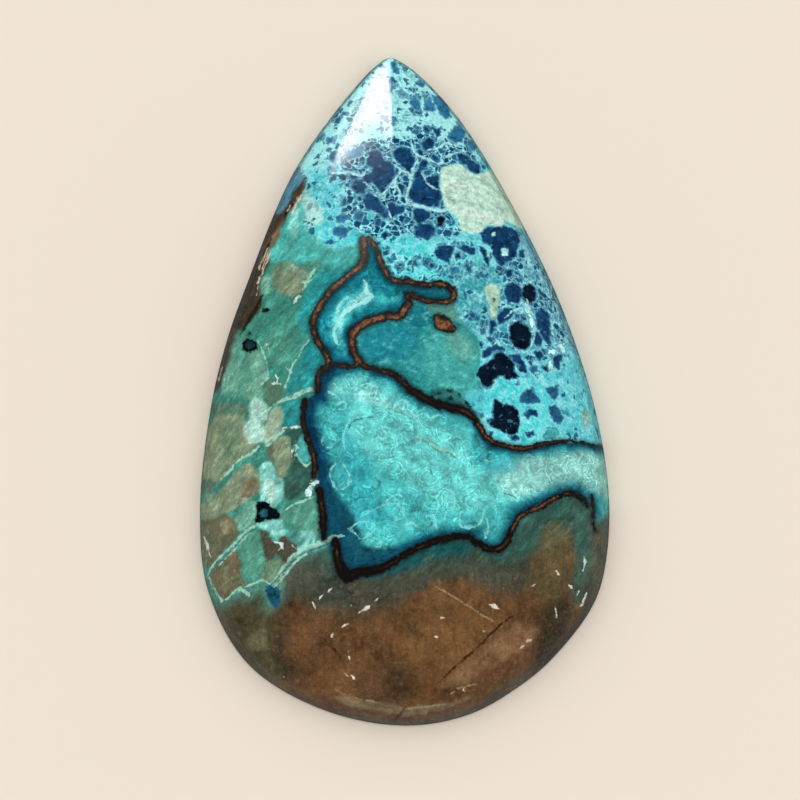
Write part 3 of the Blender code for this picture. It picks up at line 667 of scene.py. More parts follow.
# Thin lines and specks: colour, how much they cover, and paths with their half width.
LINES = (
    # Pale specks of quartz. The paths on the left rim at x 204 to 210 and on the right rim at x 580 to 586
    # are painted highlights.
    (PEARL_AND_RIM_HIGHLIGHT, 0.9, (
        ((276, 376, 0.6), (278, 379, 0.9), (277, 383, 1.4), (280, 384, 0.7)),
        ((273, 384, 0.5), (277, 384, 1)), ((284, 428, 0.5), (292, 427, 0.9), (301, 427, 0.5)),
        ((313, 483, 2), (316, 482, 1.6)), ((267, 345, 1), (268, 347, 1)), ((297, 297, 1), (295, 302, 1.2)),
        ((275, 542, 0.4), (282, 544, 0.6), (279, 549, 0.4)),
        ((204, 538, 0.7), (207, 545, 1.2), (210, 556, 0.6)), ((281, 545, 1), (282, 548, 0.6)),
        ((293, 546, 0.8), (295, 548, 0.6)), ((292, 452, 1.2), (292, 455, 0.8)),
        ((295, 445, 1), (297, 447, 0.8)), ((584, 556, 0.5), (585, 563, 0.8), (583, 570, 0.5)),
        ((580, 605, 0.4), (584, 600, 1), (586, 594, 0.5)),
    )),
    (MINT, 0.9, (
        ((311, 334, 0.3), (308, 341, 0.6), (303, 347, 0.4), (299, 356, 0.7), (293, 364, 0.5),
         (290, 372, 0.7)),
        ((290, 373, 0.4), (288, 379, 0.6), (285, 387.5, 0.5)), ((287, 368, 0.5), (291, 371, 0.6)),
        ((258, 341, 0.8), (263, 352, 0.9), (267, 366, 0.9), (267, 377, 0.9), (262, 384, 0.7)),
        ((316, 391, 0.9), (308, 391, 1.4), (300, 395, 1.5), (290, 399, 1.2), (281, 401, 0.9)),
        ((313, 388, 0.5), (304, 390, 0.8), (295, 394, 0.8), (287, 397, 0.5)),
        ((281, 401, 1.2), (274, 405, 1), (268, 411, 1), (266, 418, 0.8)),
        ((313, 497, 0.8), (300, 502, 1), (292, 505, 0.9), (286, 510, 0.7)),
        ((257, 524, 1), (250, 529, 1.2), (243, 534, 1.2), (237, 541, 1.1), (231, 547, 1.1), (224, 553, 1.1),
         (217, 560, 1), (211, 568, 0.9), (208, 574, 0.8)),
        ((252, 532, 0.6), (244, 538, 0.8), (239, 545, 0.7), (233, 551, 0.7), (226, 558, 0.7),
         (220, 565, 0.5)),
        ((341, 536, 1.2), (335, 537, 1.8), (329, 539, 2.2), (318, 544, 2.2), (305, 548, 1.8),
         (294, 555, 1.4), (286, 564, 1.2), (278, 575, 1.1), (272, 582, 0.9)),
        ((306, 554, 0.8), (297, 560, 1), (289, 570, 0.9), (281, 580, 0.8), (275, 586, 0.6)),
        ((270, 584, 0.8), (262, 580, 1.1), (256, 583, 1.2), (247, 586, 1.2), (241, 588, 1), (234, 592, 0.8),
         (228, 598, 0.8), (222, 601, 0.7)),
        ((266, 446, 0.9), (272, 441, 1), (277, 436, 1), (283, 431, 0.9)),
        ((222, 479, 0.9), (231, 469, 1.2), (238, 461, 1.3), (246, 456, 1.3), (254, 451, 1.3),
         (258, 447, 1)),
        ((307, 282, 1.2), (300, 296, 0.5), (306, 285, 0.8), (314, 270, 1.2), (318, 266, 0.8)),
        ((304, 282, 1.8), (309, 281, 1.6)),
        ((209, 578, 0.7), (213, 586, 0.8), (217, 594, 0.8), (222, 601, 0.7)),
        ((296, 442, 0.7), (296, 451, 0.7), (300, 460, 0.7), (307, 466, 0.8), (311, 462, 0.7)),
        ((243, 590, 2.4), (248, 594, 1.8)),
    )),
    (ICE, 0.85, (
        ((410, 136, 0.6), (415, 153, 1.1), (424, 158, 1), (433, 161, 1), (440, 164, 1.2), (447, 156, 1),
         (464, 151, 0.6)),
        ((394, 160, 0.5), (400, 169, 1), (409, 174, 1.2), (411, 182, 1.2), (407, 193, 1), (407, 202, 1.2),
         (424, 207, 1.6), (442, 211, 1.6), (451, 209, 0.8)),
        ((411, 182, 0.7), (413, 169, 1), (418, 160, 0.7)),
        ((333, 173, 0.6), (351, 173, 0.9), (362, 176, 0.9), (367, 169, 0.6)),
        ((345, 147, 0.8), (358, 140, 1.4), (376, 136, 1.6), (389, 133, 1.6), (407, 133, 1)),
        ((364, 182, 0.4), (384, 200, 0.6), (391, 218, 0.4)),
        ((384, 193, 0.5), (391, 185, 0.9), (396, 178, 1), (400, 173, 0.6)),
        ((395, 182, 0.6), (400, 195, 0.8), (396, 204, 0.6)),
        ((428, 150, 0.5), (438, 148, 0.9), (446, 143, 0.9), (456, 146, 0.6)),
        ((421, 172, 0.4), (430, 186, 0.6), (440, 190, 0.5)),
        ((531, 346, 0.3), (534, 338, 0.5), (535, 328, 0.5), (532, 316, 0.6), (527, 300, 0.4)),
        ((505, 318, 0.3), (513, 311, 0.5), (522, 308, 0.6), (528, 304, 0.4)),
    )),
    ("#E2D6BA", 0.9, (
        ((292, 213, 1), (297, 203, 1.6), (301, 196, 1)), ((286, 214, 0.6), (290, 207, 0.8)),
        ((268, 246, 0.7), (263, 258, 1.2), (259, 268, 0.9)),
        ((270, 254, 0.6), (266, 264, 0.8), (262, 274, 0.6)),
        ((259, 278, 0.9), (258, 286, 0.9), (257, 294, 0.7)), ((222, 368, 0.7), (219, 380, 0.7)),
    )),
    ("#1E1610", 0.9, (
        ((284, 217, 0.9), (289, 210, 1.2), (293, 204, 0.9)),
        ((271, 240, 0.7), (265, 252, 1), (261, 262, 0.7)),
        ((262, 296, 1.2), (255, 310, 1.7), (247, 324, 1.5), (241, 334, 0.8)),
        ((225, 360, 0.5), (221, 374, 0.7)), ((232, 334, 0.6), (228, 348, 0.9), (225, 362, 0.6)),
    )),
    ("#5A3A28", 0.8, (
        ((283, 218, 1.4), (275, 229, 2.2), (267, 241, 1.8), (262, 250, 1)),
        ((303, 181, 0.7), (301, 190, 1.5), (299, 199, 0.7)),
    )),
    ("#1F6F78", 0.8, (
        ((257, 527, 0.5), (243, 537, 0.6), (232, 550, 0.6), (219, 562, 0.5)),
        ((335, 541, 0.6), (318, 548, 0.8), (305, 552, 0.8), (294, 560, 0.8), (284, 571, 0.7)),
    )),
    ("#8FE8E2", 0.75, (
        ((357, 402, 0.6), (354, 392, 0.8), (360, 386, 0.8), (370, 384, 0.8), (378, 388, 0.8),
         (380, 396, 0.6)),
        ((349, 479, 0.8), (347, 487, 0.9), (337, 489, 0.8), (332, 482, 0.8), (330, 472, 0.7),
         (335, 464, 0.7)),
        ((343, 464, 0.7), (348, 472, 0.7), (351, 482, 0.6)),
        ((322, 441, 0.5), (325, 436, 0.6), (331, 435, 0.6), (335, 439, 0.6), (334, 446, 0.6),
         (328, 448, 0.6), (323, 445, 0.5)),
        ((349, 529, 0.8), (356, 534, 0.9), (361, 539, 0.8), (369, 535, 0.8), (376, 527, 0.8),
         (369, 522, 0.8), (357, 523, 0.8), (350, 529, 0.7)),
        ((372, 541, 0.6), (378, 539, 0.8), (381, 546, 0.8), (377, 547, 0.5)),
        ((326, 540, 0.8), (334, 538, 1), (343, 536, 0.8)),
        ((487, 520, 0.6), (488, 528, 0.8), (486, 537, 0.8), (484, 531, 0.6)),
        ((463, 527, 0.8), (472, 527, 0.9), (480, 524, 0.8)),
        ((362, 516, 0.8), (374, 510, 0.8), (386, 504, 0.8), (402, 503, 0.6)),
        ((528, 462, 0.8), (529, 474, 0.9), (533, 482, 0.9), (534, 492, 0.8)),
        ((329, 392, 0.6), (336, 396, 0.8), (342, 402, 0.5)), ((334, 384, 0.6), (341, 391, 0.8)),
        ((343, 380, 0.6), (348, 388, 0.8)), ((352, 378, 0.5), (355, 385, 0.7)),
        ((338, 404, 0.6), (342, 401, 0.7), (346, 404, 0.7), (344, 409, 0.7), (339, 409, 0.6)),
        ((364, 512, 0.7), (373, 509, 0.9), (382, 505.6, 0.9), (391, 497, 0.8), (398, 494.4, 0.8),
         (404, 498, 0.6)),
        ((411, 411, 0.7), (416, 416, 1), (424, 413, 0.9), (430, 418, 1), (438, 415, 0.9), (444, 417, 0.6)),
        ((397, 404, 0.6), (402, 400, 0.8), (407, 402, 0.8), (409, 406, 0.6)),
        ((398, 505, 0.6), (404, 510, 0.8), (402, 518, 0.8), (396, 520, 0.6)),
        ((405, 525, 0.7), (412, 523, 0.9), (418, 527, 0.7)),
        ((426, 515, 0.6), (434, 519, 0.8), (436, 527, 0.7)),
        ((436, 495, 0.6), (438, 505, 0.9), (436, 514, 0.7)),
        ((446, 496, 0.6), (447, 508, 1), (444, 518, 0.7)),
        ((451, 490, 0.6), (455, 500, 1), (452, 512, 0.7)),
        ((460, 513, 0.7), (461, 526, 0.9), (470, 528, 0.9), (481, 522, 0.8), (484, 511, 0.6)),
        ((347, 425, 0.7), (343, 437, 1), (345, 449, 0.9), (352, 456, 0.6)),
        ((381, 428, 0.7), (386, 434, 0.9), (383, 440, 0.8), (378, 436, 0.6)),
    )),
    ("#B4F8F4", 0.7, (
        ((364, 281, 0.7), (367, 286, 1), (366, 292, 2), (371, 295, 2.4), (367, 301, 2.4), (358, 304.5, 2.2),
         (349, 309, 2.4), (342, 316, 2.4), (338, 324, 2), (334, 331, 1.6), (335.5, 338, 1.3),
         (337, 343, 0.8)),
        ((347, 297, 0.8), (341, 303, 1.5), (337, 311, 1.3), (334, 320, 0.8)),
    )),
    ("#0F4E63", 0.75, (
        ((348.5, 427.6, 0.5), (353.5, 421, 0.6), (361, 419, 0.7), (373, 417, 0.5)),
        ((463, 523, 0.5), (471, 523, 0.8), (479, 523, 0.5)),
        ((500, 492, 0.5), (510, 495, 0.6), (518, 499, 0.5)),
        ((430, 470, 0.4), (433, 478, 0.5), (431, 484, 0.4)),
    )),
    ("#3C6A5E", 0.8, (
        ((417, 439, 0.4), (425, 441, 0.7), (432, 447, 0.7), (438, 451, 0.6), (447, 452.5, 0.5),
         (455, 457.4, 0.5)),
        ((427, 438, 0.4), (434, 443, 0.6), (440, 447, 0.4)),
        ((376, 478, 0.5), (380, 483, 0.7), (377, 489, 0.6), (372, 487, 0.4)),
        ((428, 517, 0.5), (432, 523, 0.7), (429, 527, 0.5)),
    )),
    ("#A8C09C", 0.8, (
        ((416, 437, 0.4), (425, 439, 0.7), (433, 445, 0.7), (439, 449, 0.6), (447, 450.5, 0.5),
         (455.5, 455.6, 0.5), (466, 454, 0.4)),
        ((470, 458, 0.4), (486, 460, 0.4), (496, 463, 0.3)),
    )),
    ("#2A1A10", 0.85, (
        ((450, 671, 0.8), (470, 654, 1), (484, 641, 0.9), (498, 627, 1), (508, 619, 0.8),
         (517.5, 614, 0.7)),
        ((322, 637, 0.4), (334, 649, 0.5), (344, 662, 0.5)),
        ((409, 703, 0.8), (402, 712, 1), (396, 719, 0.8)), ((438, 684, 0.5), (450, 671, 0.8)),
    )),
    # A pale crack across the quartz. The paths low on the foot, along the girdle, are a painted highlight.
    ("#A9926C", 0.7, (
        ((436, 587, 0.5), (451, 595, 0.6), (462, 602, 0.5), (473, 609, 0.6), (484, 616, 0.5),
         (494.5, 622, 0.5)),
        ((340, 694, 0.5), (360, 699, 0.7), (380, 703, 0.5)),
        ((404, 709, 0.8), (424, 707, 0.9), (446, 704, 0.7)),
        ((452, 693, 0.5), (460, 688, 0.6), (476, 684, 0.4)), ((336, 690, 0.3), (350, 697, 0.5)),
    )),
)
# Flaws in the quartz that catch the light: path and half width.
GLINTS = (
    ((360, 612, 0.7), (364, 609.5, 1.9), (368, 607, 1.1)),
    ((491, 605, 0.9), (495, 607, 2.1), (498, 608.5, 0.9)), ((376, 600, 0.5), (377, 599, 0.7)),
    ((320, 598, 0.5), (322, 596, 0.7)), ((329, 591, 0.5), (331, 589, 0.8)),
    ((342, 627, 0.2), (345, 625, 0.5), (348, 624, 0.2)), ((361, 636, 0.4), (362, 635, 0.5)),
    ((442, 618, 0.6), (443, 618, 0.5)), ((436, 637, 0.6), (437, 637, 0.5)),
    ((481, 630, 0.4), (484, 631, 0.6)), ((557, 572, 0.8), (558, 573, 1.1)),
    ((570, 586, 0.9), (571, 587, 0.8)), ((578, 594, 0.5), (579, 592, 0.7)),
    ((582, 605, 0.5), (584, 602, 0.7)), ((555, 607, 0.3), (556, 612, 0.5), (557, 617, 0.3)),
    ((527, 641, 0.4), (530, 640, 0.6)), ((521, 648, 0.5), (523, 646, 0.4)),
    ((532, 586, 0.4), (534, 585, 0.6)), ((348, 651, 0.2), (349, 658, 0.5)),
    ((345, 673, 0.3), (347, 676, 0.6)), ((352, 676, 0.4), (354, 679, 0.5)),
    ((313, 603, 0.5), (315, 607, 0.6)), ((463, 690, 0.5), (464, 691, 0.4)),
    ((333, 634, 0.4), (332, 636, 0.4)),
)

# How thick the dark chips of the fine breccia lie: share, softness of the edge, and outline. Elsewhere it
# is CHIP_SHARE.
CHIP_SHARE = 0.2
CHIPS = (
    (0.36, 8, (
        (380, 40), (440, 60), (476, 146), (440, 142), (400, 142), (340, 160), (300, 170), (330, 100),
    )),
    (0.92, 10, (
        (350, 146), (400, 138), (440, 136), (470, 146), (486, 176), (442, 168), (444, 200), (460, 232),
        (440, 240), (400, 236), (360, 232), (340, 200), (330, 176),
    )),
    (0.24, 8, ((300, 160), (340, 160), (346, 200), (340, 240), (312, 236), (304, 200))),
    (0.28, 8, ((380, 240), (440, 236), (478, 246), (476, 284), (450, 284), (418, 282), (388, 270))),
    (0.14, 6, ((458, 274), (484, 274), (486, 312), (500, 330), (484, 350), (470, 326), (458, 306))),
    (0.5, 8, (
        (500, 264), (540, 260), (560, 320), (570, 372), (540, 380), (520, 352), (484, 350), (500, 320),
    )),
    (0.15, 8, ((542, 372), (574, 360), (600, 420), (600, 442), (560, 440), (548, 410))),
    (0.0, 6, ((490, 384), (520, 380), (548, 386), (550, 440), (510, 446), (486, 436), (484, 400))),
)

OVAL_SIDES = 24
CELL_EDGE = 3  # how softly the seams' stains end at the edge of their cell
# How far round each mark its distances are worked out. Beyond that a seam's are SEAM_REACH and others'
# are FAR.
FRAGMENT_REACH, LINE_REACH, SEAM_REACH = 6, 7, 30
FAR = 9.0
RUST_INSETS = (0.6, 1.6)  # how far inside the blob's outline its black edge and its brown core begin
RUST_STRENGTH = 1.9  # how brown the blob is, which the half width of its core says for a seam
WAVERS = ((1.8, 14, 1), (1.2, 5, 3))  # how far the soft areas' edges waver, the waves' length, and a seed
LATTICE = 64  # squares before the wavering repeats

# The stage. Directions are an azimuth, clockwise from +Y seen from above, and an elevation, in degrees.
# Lamps have their places and sides in metres, and their power in watts.
SENSOR_WIDTH, LENS = 36, 180
NEAREST, FARTHEST = 0.01, 10  # what the camera sees, in metres from it
OVERHEAD_HEIGHT, OVERHEAD_SIDE, OVERHEAD_POWER = 1.204, 2.0, 9.3
NOSE = (-0.001, 0.018, 0.004)  # where the window's glint lies on the dome
WINDOW_DISTANCE, WINDOW_ROLL = 0.6, -47
WINDOWS = (
    ("window", (-20.6, 22.8), (0.41, 0.21), 1.25),
    ("window_pane", (-27.4, 31.6), (0.26, 0.05), 0.7),
)
ROOM_LIGHT = 0.66
WALL_LIGHT, WALL_RISE = 0.14, 0.4  # what gloss sees of the walls, and how far up


def linear(code):
    """An sRGB hex colour as linear red, green and blue, by the curve of the sRGB standard."""
    parts = np.array([int(code[n : n + 2], 16) for n in (1, 3, 5)]) / 255
    return tuple(np.where(parts <= 0.04045, parts / 12.92, ((parts + 0.055) / 1.055) ** 2.4).tolist())


def size_prop(name, description, default):
    """A length, its default in millimetres."""
    return FloatProperty(
        name=name, description=description, default=default * MM, unit="LENGTH", precision=5
    )


def colour_prop(name, description, code):
    """A colour, its default a hex code."""
    return FloatVectorProperty(
        name=name, description=description, default=linear(code), subtype="COLOR", size=3, min=0, max=1
    )


class StoneSizes(bpy.types.PropertyGroup):
    thickness: size_prop("Thickness", "From the table to the summit of the dome", 7.0)
    wall_top: size_prop("Girdle height", "Where the wall meets the dome", 2.0)
    wall_lean: size_prop("Wall lean", "How far the wall leans in by the girdle", 0.45)
    bevel_width: size_prop("Back bevel width", "The bevel round the flat back", 0.4)
    bevel_height: size_prop("Back bevel height", "The bevel round the flat back", 0.35)


class StoneColours(bpy.types.PropertyGroup):
    edge: colour_prop("Seam edge", "Manganese oxide along both sides of the seams", "#120C0A")
    core: colour_prop("Seam core", "Limonite along the middle of the seams", "#86522C")
    navy: colour_prop("Shattuckite", "Dark chips in the fine breccia", "#0F3E64")
    ice: colour_prop("Quartz network", "Pale quartz between the chips of the fine breccia", "#A8F4F6")
    glint: colour_prop("Quartz flaw", "Flaws in the quartz that catch the light", "#E6DCC8")


class StageSizes(bpy.types.PropertyGroup):
    table: size_prop("Table", "Side of the square table", 1600)


class StageColours(bpy.types.PropertyGroup):
    paper: colour_prop("Paper", "The table's matt paper", "#F1E4D4")


def curve_through(knots, closed, parts):
    """A centripetal Catmull-Rom curve through the knots, every column carried along, read at so many
    parts between two knots. Each place blends the four knots round it, spaced by the square root of how
    far apart they are."""
    knots = np.array(knots, dtype=float)
    if closed:
        row = np.concatenate([knots[-1:], knots, knots[:2]])
    else:
        row = np.concatenate([2 * knots[:1] - knots[1:2], knots, 2 * knots[-1:] - knots[-2:-1]])
    spaces = np.linalg.norm(np.diff(row[:, :2], axis=0), axis=1) ** 0.5
    times = np.concatenate([[0], np.cumsum(spaces)])
    count = len(row) - 3
    p0, p1, p2, p3 = (row[n : n + count, None] for n in range(4))
    t0, t1, t2, t3 = (times[n : n + count, None, None] for n in range(4))
    t = t1 + (t2 - t1) * np.linspace(0, 1, parts, endpoint=False)[:, None]
    a1 = (t1 - t) / (t1 - t0) * p0 + (t - t0) / (t1 - t0) * p1
    a2 = (t2 - t) / (t2 - t1) * p1 + (t - t1) / (t2 - t1) * p2
    a3 = (t3 - t) / (t3 - t2) * p2 + (t - t2) / (t3 - t2) * p3
    b1 = (t2 - t) / (t2 - t0) * a1 + (t - t0) / (t2 - t0) * a2
    b2 = (t3 - t) / (t3 - t1) * a2 + (t - t1) / (t3 - t1) * a3
    curve = (t2 - t) / (t2 - t1) * b1 + (t - t1) / (t2 - t1) * b2
    return np.concatenate([curve.reshape(-1, knots.shape[1]), row[-2:-1]])


def edge_at(share, inset):
    """The outline at a share of the way round it, moved in by inset square to itself."""
    curve = curve_through(OUTLINE, True, OUTLINE_PARTS)
    length = np.concatenate([[0], np.cumsum(np.linalg.norm(np.diff(curve, axis=0), axis=1))])
    length /= length[-1]
    before, after = (np.roll(curve[:-1], n, axis=0) for n in (TANGENT_REACH, -TANGENT_REACH))
    along = after - before
    inward = np.stack([along[:, 1], -along[:, 0]], axis=1)
    inward /= np.linalg.norm(inward, axis=1, keepdims=True)
    inward = np.concatenate([inward, inward[:1]])
    share = share % 1.0
    place, move = ([np.interp(share, length, row[:, n]) for n in (0, 1)] for row in (curve, inward))
    return np.stack(place, axis=-1) + inset * np.stack(move, axis=-1)


def rim_grid(across, along):
    """For each point of a rectangular grid, how far out it is, 0 in the middle to 1 at the rim, and where
    the line from the middle through it meets the rim, as a share of the way round, clockwise from the
    middle of the top."""
    a, b = np.meshgrid(np.linspace(-1, 1, across + 1), np.linspace(-1, 1, along + 1))
    out = np.maximum(np.abs(a), np.abs(b))
    x, y = (side / np.where(out > 0, out, 1) for side in (a, b))
    half_x, half_y = across / 2, along / 2
    top, right = x * half_x, half_x + (1 - y) * half_y
    bottom, left = 2 * half_y + (2 - x) * half_x, 3 * half_x + (3 + y) * half_y
    steps = np.select([b >= np.abs(a), a >= np.abs(b), -b >= np.abs(a)], [top, right, bottom], left)
    return out, (steps / (4 * (half_x + half_y))) % 1.0


def dome(out, share, sizes):
    """The dome's surface: the girdle, shrunk towards the summit and rounded to an oval there, and raised
    to (1 - out ** DOME_FULLNESS) ** shoulder of the way from the girdle to the summit."""
    girdle = edge_at(share, sizes.wall_lean / MM)
    spoke = girdle - np.array(SUMMIT)
    angle = np.arctan2(spoke[..., 1], spoke[..., 0])
    wide, tipward, footward = CREST_OVAL
    long = np.where(angle > 0, tipward, footward)
    reach = wide * long / np.hypot(long * np.cos(angle), wide * np.sin(angle))
    oval = reach[..., None] * np.stack([np.cos(angle), np.sin(angle)], axis=-1)
    rounded = ((1 - out) ** CREST_REACH)[..., None]
    plan = np.array(SUMMIT) + out[..., None] * ((1 - rounded) * spoke + rounded * oval)
    top, low = sizes.thickness / MM, sizes.wall_top / MM
    nose = np.exp(-((np.minimum(share, 1 - share) / NOSE_SPAN) ** 2))
    shoulder = SHOULDER + (NOSE_SHOULDER - SHOULDER) * nose
    height = low + (top - low) * (1 - out**DOME_FULLNESS) ** shoulder
    return np.concatenate([plan, height[..., None]], axis=-1)


def rim_order(across, along):
    """The numbers of the grid's rim points, clockwise from the middle of the top side."""
    n = np.arange((across + 1) * (along + 1)).reshape(along + 1, across + 1)
    middle = across // 2
    parts = (n[-1, middle:], n[-2::-1, -1], n[0, -2::-1], n[1:, 0], n[-1, 1:middle])
    return np.concatenate(parts)


def grid_faces(across, along):
    """The grid's squares, each by the numbers of its corners, anticlockwise seen from above."""
    n = np.arange((across + 1) * (along + 1)).reshape(along + 1, across + 1)
    return np.stack([n[:-1, :-1], n[:-1, 1:], n[1:, 1:], n[1:, :-1]], axis=-1).reshape(-1, 4)


def stone_points(sizes):
    """The stone's points and faces: the dome's grid, the wall's rings below the girdle, and a coarser
    grid for the flat back, joined to the wall by faces with a corner for each of the wall's steps."""
    out, share = rim_grid(ACROSS, ALONG)
    top = dome(out, share, sizes).reshape(-1, 3)
    around = 2 * (ACROSS + ALONG)
    round_share = np.arange(around) / around
    bevel_width, bevel_height = sizes.bevel_width / MM, sizes.bevel_height / MM
    girdle, lean = sizes.wall_top / MM, sizes.wall_lean / MM
    down = np.linspace(1, 0, WALL_STEPS + 1)[1:]
    profile = [(lean * part, bevel_height + (girdle - bevel_height) * part) for part in down]
    profile.append((bevel_width, 0.0))
    rings = [np.c_[edge_at(round_share, inset), np.full(around, z)] for inset, z in profile]
    back_across, back_along = ACROSS // BACK_COARSENESS, ALONG // BACK_COARSENESS
    out, share = rim_grid(back_across, back_along)
    middle = np.array(SUMMIT)
    plan = middle + out[..., None] * (edge_at(share, bevel_width + BACK_MARGIN) - middle)
    back = np.concatenate([plan, np.zeros(plan.shape[:2] + (1,))], axis=-1).reshape(-1, 3)

    dome_rim = rim_order(ACROSS, ALONG)
    loops = [dome_rim] + [len(top) + around * k + np.arange(around) for k in range(len(rings))]
    back_start = len(top) + around * len(rings)
    back_rim = back_start + rim_order(back_across, back_along)
    faces = grid_faces(ACROSS, ALONG).tolist()
    for upper, lower in zip(loops, loops[1:]):
        faces += np.stack([upper, np.roll(upper, -1), np.roll(lower, -1), lower], axis=1).tolist()
    last = loops[-1]
    steps = [np.roll(last, -n)[::BACK_COARSENESS] for n in range(BACK_COARSENESS + 1)]
    faces += np.stack([*steps, np.roll(back_rim, -1), back_rim], axis=1).tolist()
    faces += (back_start + grid_faces(back_across, back_along)[:, ::-1]).tolist()
    return np.concatenate([top] + rings + [back]), faces


def pattern_places(points):
    """Where points of the stone are on the pattern's grid. Each is followed along its line to the viewing
    point: how far it is off the middle line of sight, times the distance of the view and over its own."""
    across, along = (points[:, n] - VIEW_MIDDLE[n] for n in (0, 1))
    lean, rise = cos(VIEW_ELEVATION), sin(VIEW_ELEVATION)
    scale = STEPS_PER_MM * VIEW_DISTANCE / (VIEW_DISTANCE + along * lean - points[:, 2] * rise)
    up = along * rise + points[:, 2] * lean
    return np.stack([GRID_MIDDLE + scale * across, GRID_MIDDLE - scale * up], axis=1)


def waver(places, size, seed):
    """Smooth noise of about -1 to 1: seeded values on a square lattice, blended across each square."""
    lattice = np.random.default_rng(seed).uniform(-1, 1, (LATTICE, LATTICE))
    cell = places / size
    corner = np.floor(cell).astype(int)
    x, y = (lambda t: t * t * (3 - 2 * t))(cell - corner).T
    a, b, c, d = (lattice[tuple((corner + step).T % LATTICE)] for step in ((0, 0), (1, 0), (0, 1), (1, 1)))
    return (a * (1 - x) + b * x) * (1 - y) + (c * (1 - x) + d * x) * y


def near(places, curve, reach):
    """Which places lie in the box round a curve, widened by reach."""
    low, high = curve[:, :2].min(axis=0) - reach, curve[:, :2].max(axis=0) + reach
    return np.flatnonzero(((places > low) & (places < high)).all(axis=1))


def nearest_on(places, curve):
    """How far each place is from a curve, positive on its left and negative on its right, and the curve's
    other columns at the nearest point, which is the foot of a square line on the nearest part, kept
    between its ends."""
    start, along = curve[:-1], np.diff(curve, axis=0)
    x, y = (places[:, n, None] - start[:, n] for n in (0, 1))
    part = np.clip((x * along[:, 0] + y * along[:, 1]) / (along[:, 0] ** 2 + along[:, 1] ** 2), 0, 1)
    off = np.hypot(x - part * along[:, 0], y - part * along[:, 1])
    best = off.argmin(axis=1)
    row = np.arange(len(places))
    side = np.sign(x[row, best] * along[best, 1] - y[row, best] * along[best, 0])
    carried = start[best, 2:] + part[row, best, None] * along[best, 2:]
    return off[row, best] * np.where(side < 0, -1, 1), carried


def shape_gap(places, curve):
    """How far each place is from a closed curve, negative inside, which is where a level line from the
    place crosses the curve an odd number of times."""
    x, y = places[:, :1], places[:, 1:]
    (ax, ay), (bx, by) = curve[:-1].T, curve[1:].T
    level = (ay > y) != (by > y)
    crossed = level & (x < ax + (y - ay) * (bx - ax) / np.where(by == ay, 1, by - ay))
    inside = crossed.sum(axis=1) % 2 == 1
    return np.abs(nearest_on(places, curve)[0]) * np.where(inside, -1, 1)


def softly(gap, edge):
    """1 inside and 0 outside, with a smooth change as wide as edge."""
    part = np.clip(0.5 - gap / edge, 0, 1)
    return part * part * (3 - 2 * part)


def lay(colours, at, code, cover):
    """Paint a colour over some of the colours, as far as it covers them."""
    colours[at] += cover[:, None] * (np.array(linear(code)) - colours[at])


def painted_ground(places):
    """The stone's colour before its crisp fragments, lines and seams: soft areas laid over each other,
    darkened towards the seams that stain them, and then clouds along paths."""
    ground = np.tile(linear(MATRIX_GREEN), (len(places), 1))
    for code, edge, cover, knots in ZONES:
        curve = curve_through(knots, True, SHAPE_PARTS)
        at = near(places, curve, edge)
        lay(ground, at, code, cover * softly(shape_gap(places[at], curve), edge))
    for cell, seams, code, reach, edge, cover in STAINS:
        outline = curve_through(cell, True, SHAPE_PARTS)
        at = near(places, outline, CELL_EDGE)
        inside = softly(shape_gap(places[at], outline), CELL_EDGE)
        paths = [curve_through(SEAMS[n], False, SHAPE_PARTS) for n in seams]
        gap = np.minimum.reduce([np.abs(nearest_on(places[at], path)[0]) for path in paths])
        lay(ground, at, code, cover * inside * softly(gap - reach, edge))
    for code, edge, cover, knots in CLOUDS:
        curve = curve_through(knots, False, PATH_PARTS)
        at = near(places, curve, edge + curve[:, 2].max())
        off, width = nearest_on(places[at], curve)
        lay(ground, at, code, cover * softly(np.abs(off) - width[:, 0], edge))
    return ground


def fragment_layer(places):
    """The crisp fragments: the colour of the nearest, and how far its edge is, negative inside."""
    layer = np.zeros((len(places), 4))
    gap = np.full(len(places), FAR)
    shapes = [(code, np.array(knots + knots[:1])) for code, outlines in FRAGMENTS for knots in outlines]
    turn = np.linspace(0, 2 * np.pi, OVAL_SIDES + 1)[:, None]
    round_shape = np.hstack([np.cos(turn), np.sin(turn)])
    shapes += [(code, np.array(middle) + np.array(half) * round_shape) for code, middle, half in OVALS]
    for code, curve in shapes:
        at = near(places, curve, FRAGMENT_REACH)
        found = shape_gap(places[at], curve)
        take = (found < gap[at]) | (found < 0)
        layer[at[take], :3] = linear(code)
        gap[at] = np.minimum(gap[at], found)
    layer[:, 3] = gap
    return layer


def line_layers(places, ground, glint):
    """The thin lines: the nearest one's colour laid over the ground, and its signed distance, unsigned
    distance and half width."""
    colour = np.ones((len(places), 4))
    offsets = np.tile((FAR, FAR, 0), (len(places), 1))
    groups = [(linear(code), cover, paths) for code, cover, paths in LINES] + [(glint, 1.0, GLINTS)]
    for tint, cover, paths in groups:
        for knots in paths:
            curve = curve_through(knots, False, PATH_PARTS)
            at = near(places, curve, LINE_REACH)
            side, width = nearest_on(places[at], curve)
            off, width = np.abs(side), width[:, 0]
            take = off - width < offsets[at, 1] - offsets[at, 2]
            offsets[at[take]] = np.stack([side, off, width], axis=1)[take]
            colour[at[take], :3] = ground[at[take]] * (1 - cover) + cover * np.array(tint)
    return colour, offsets


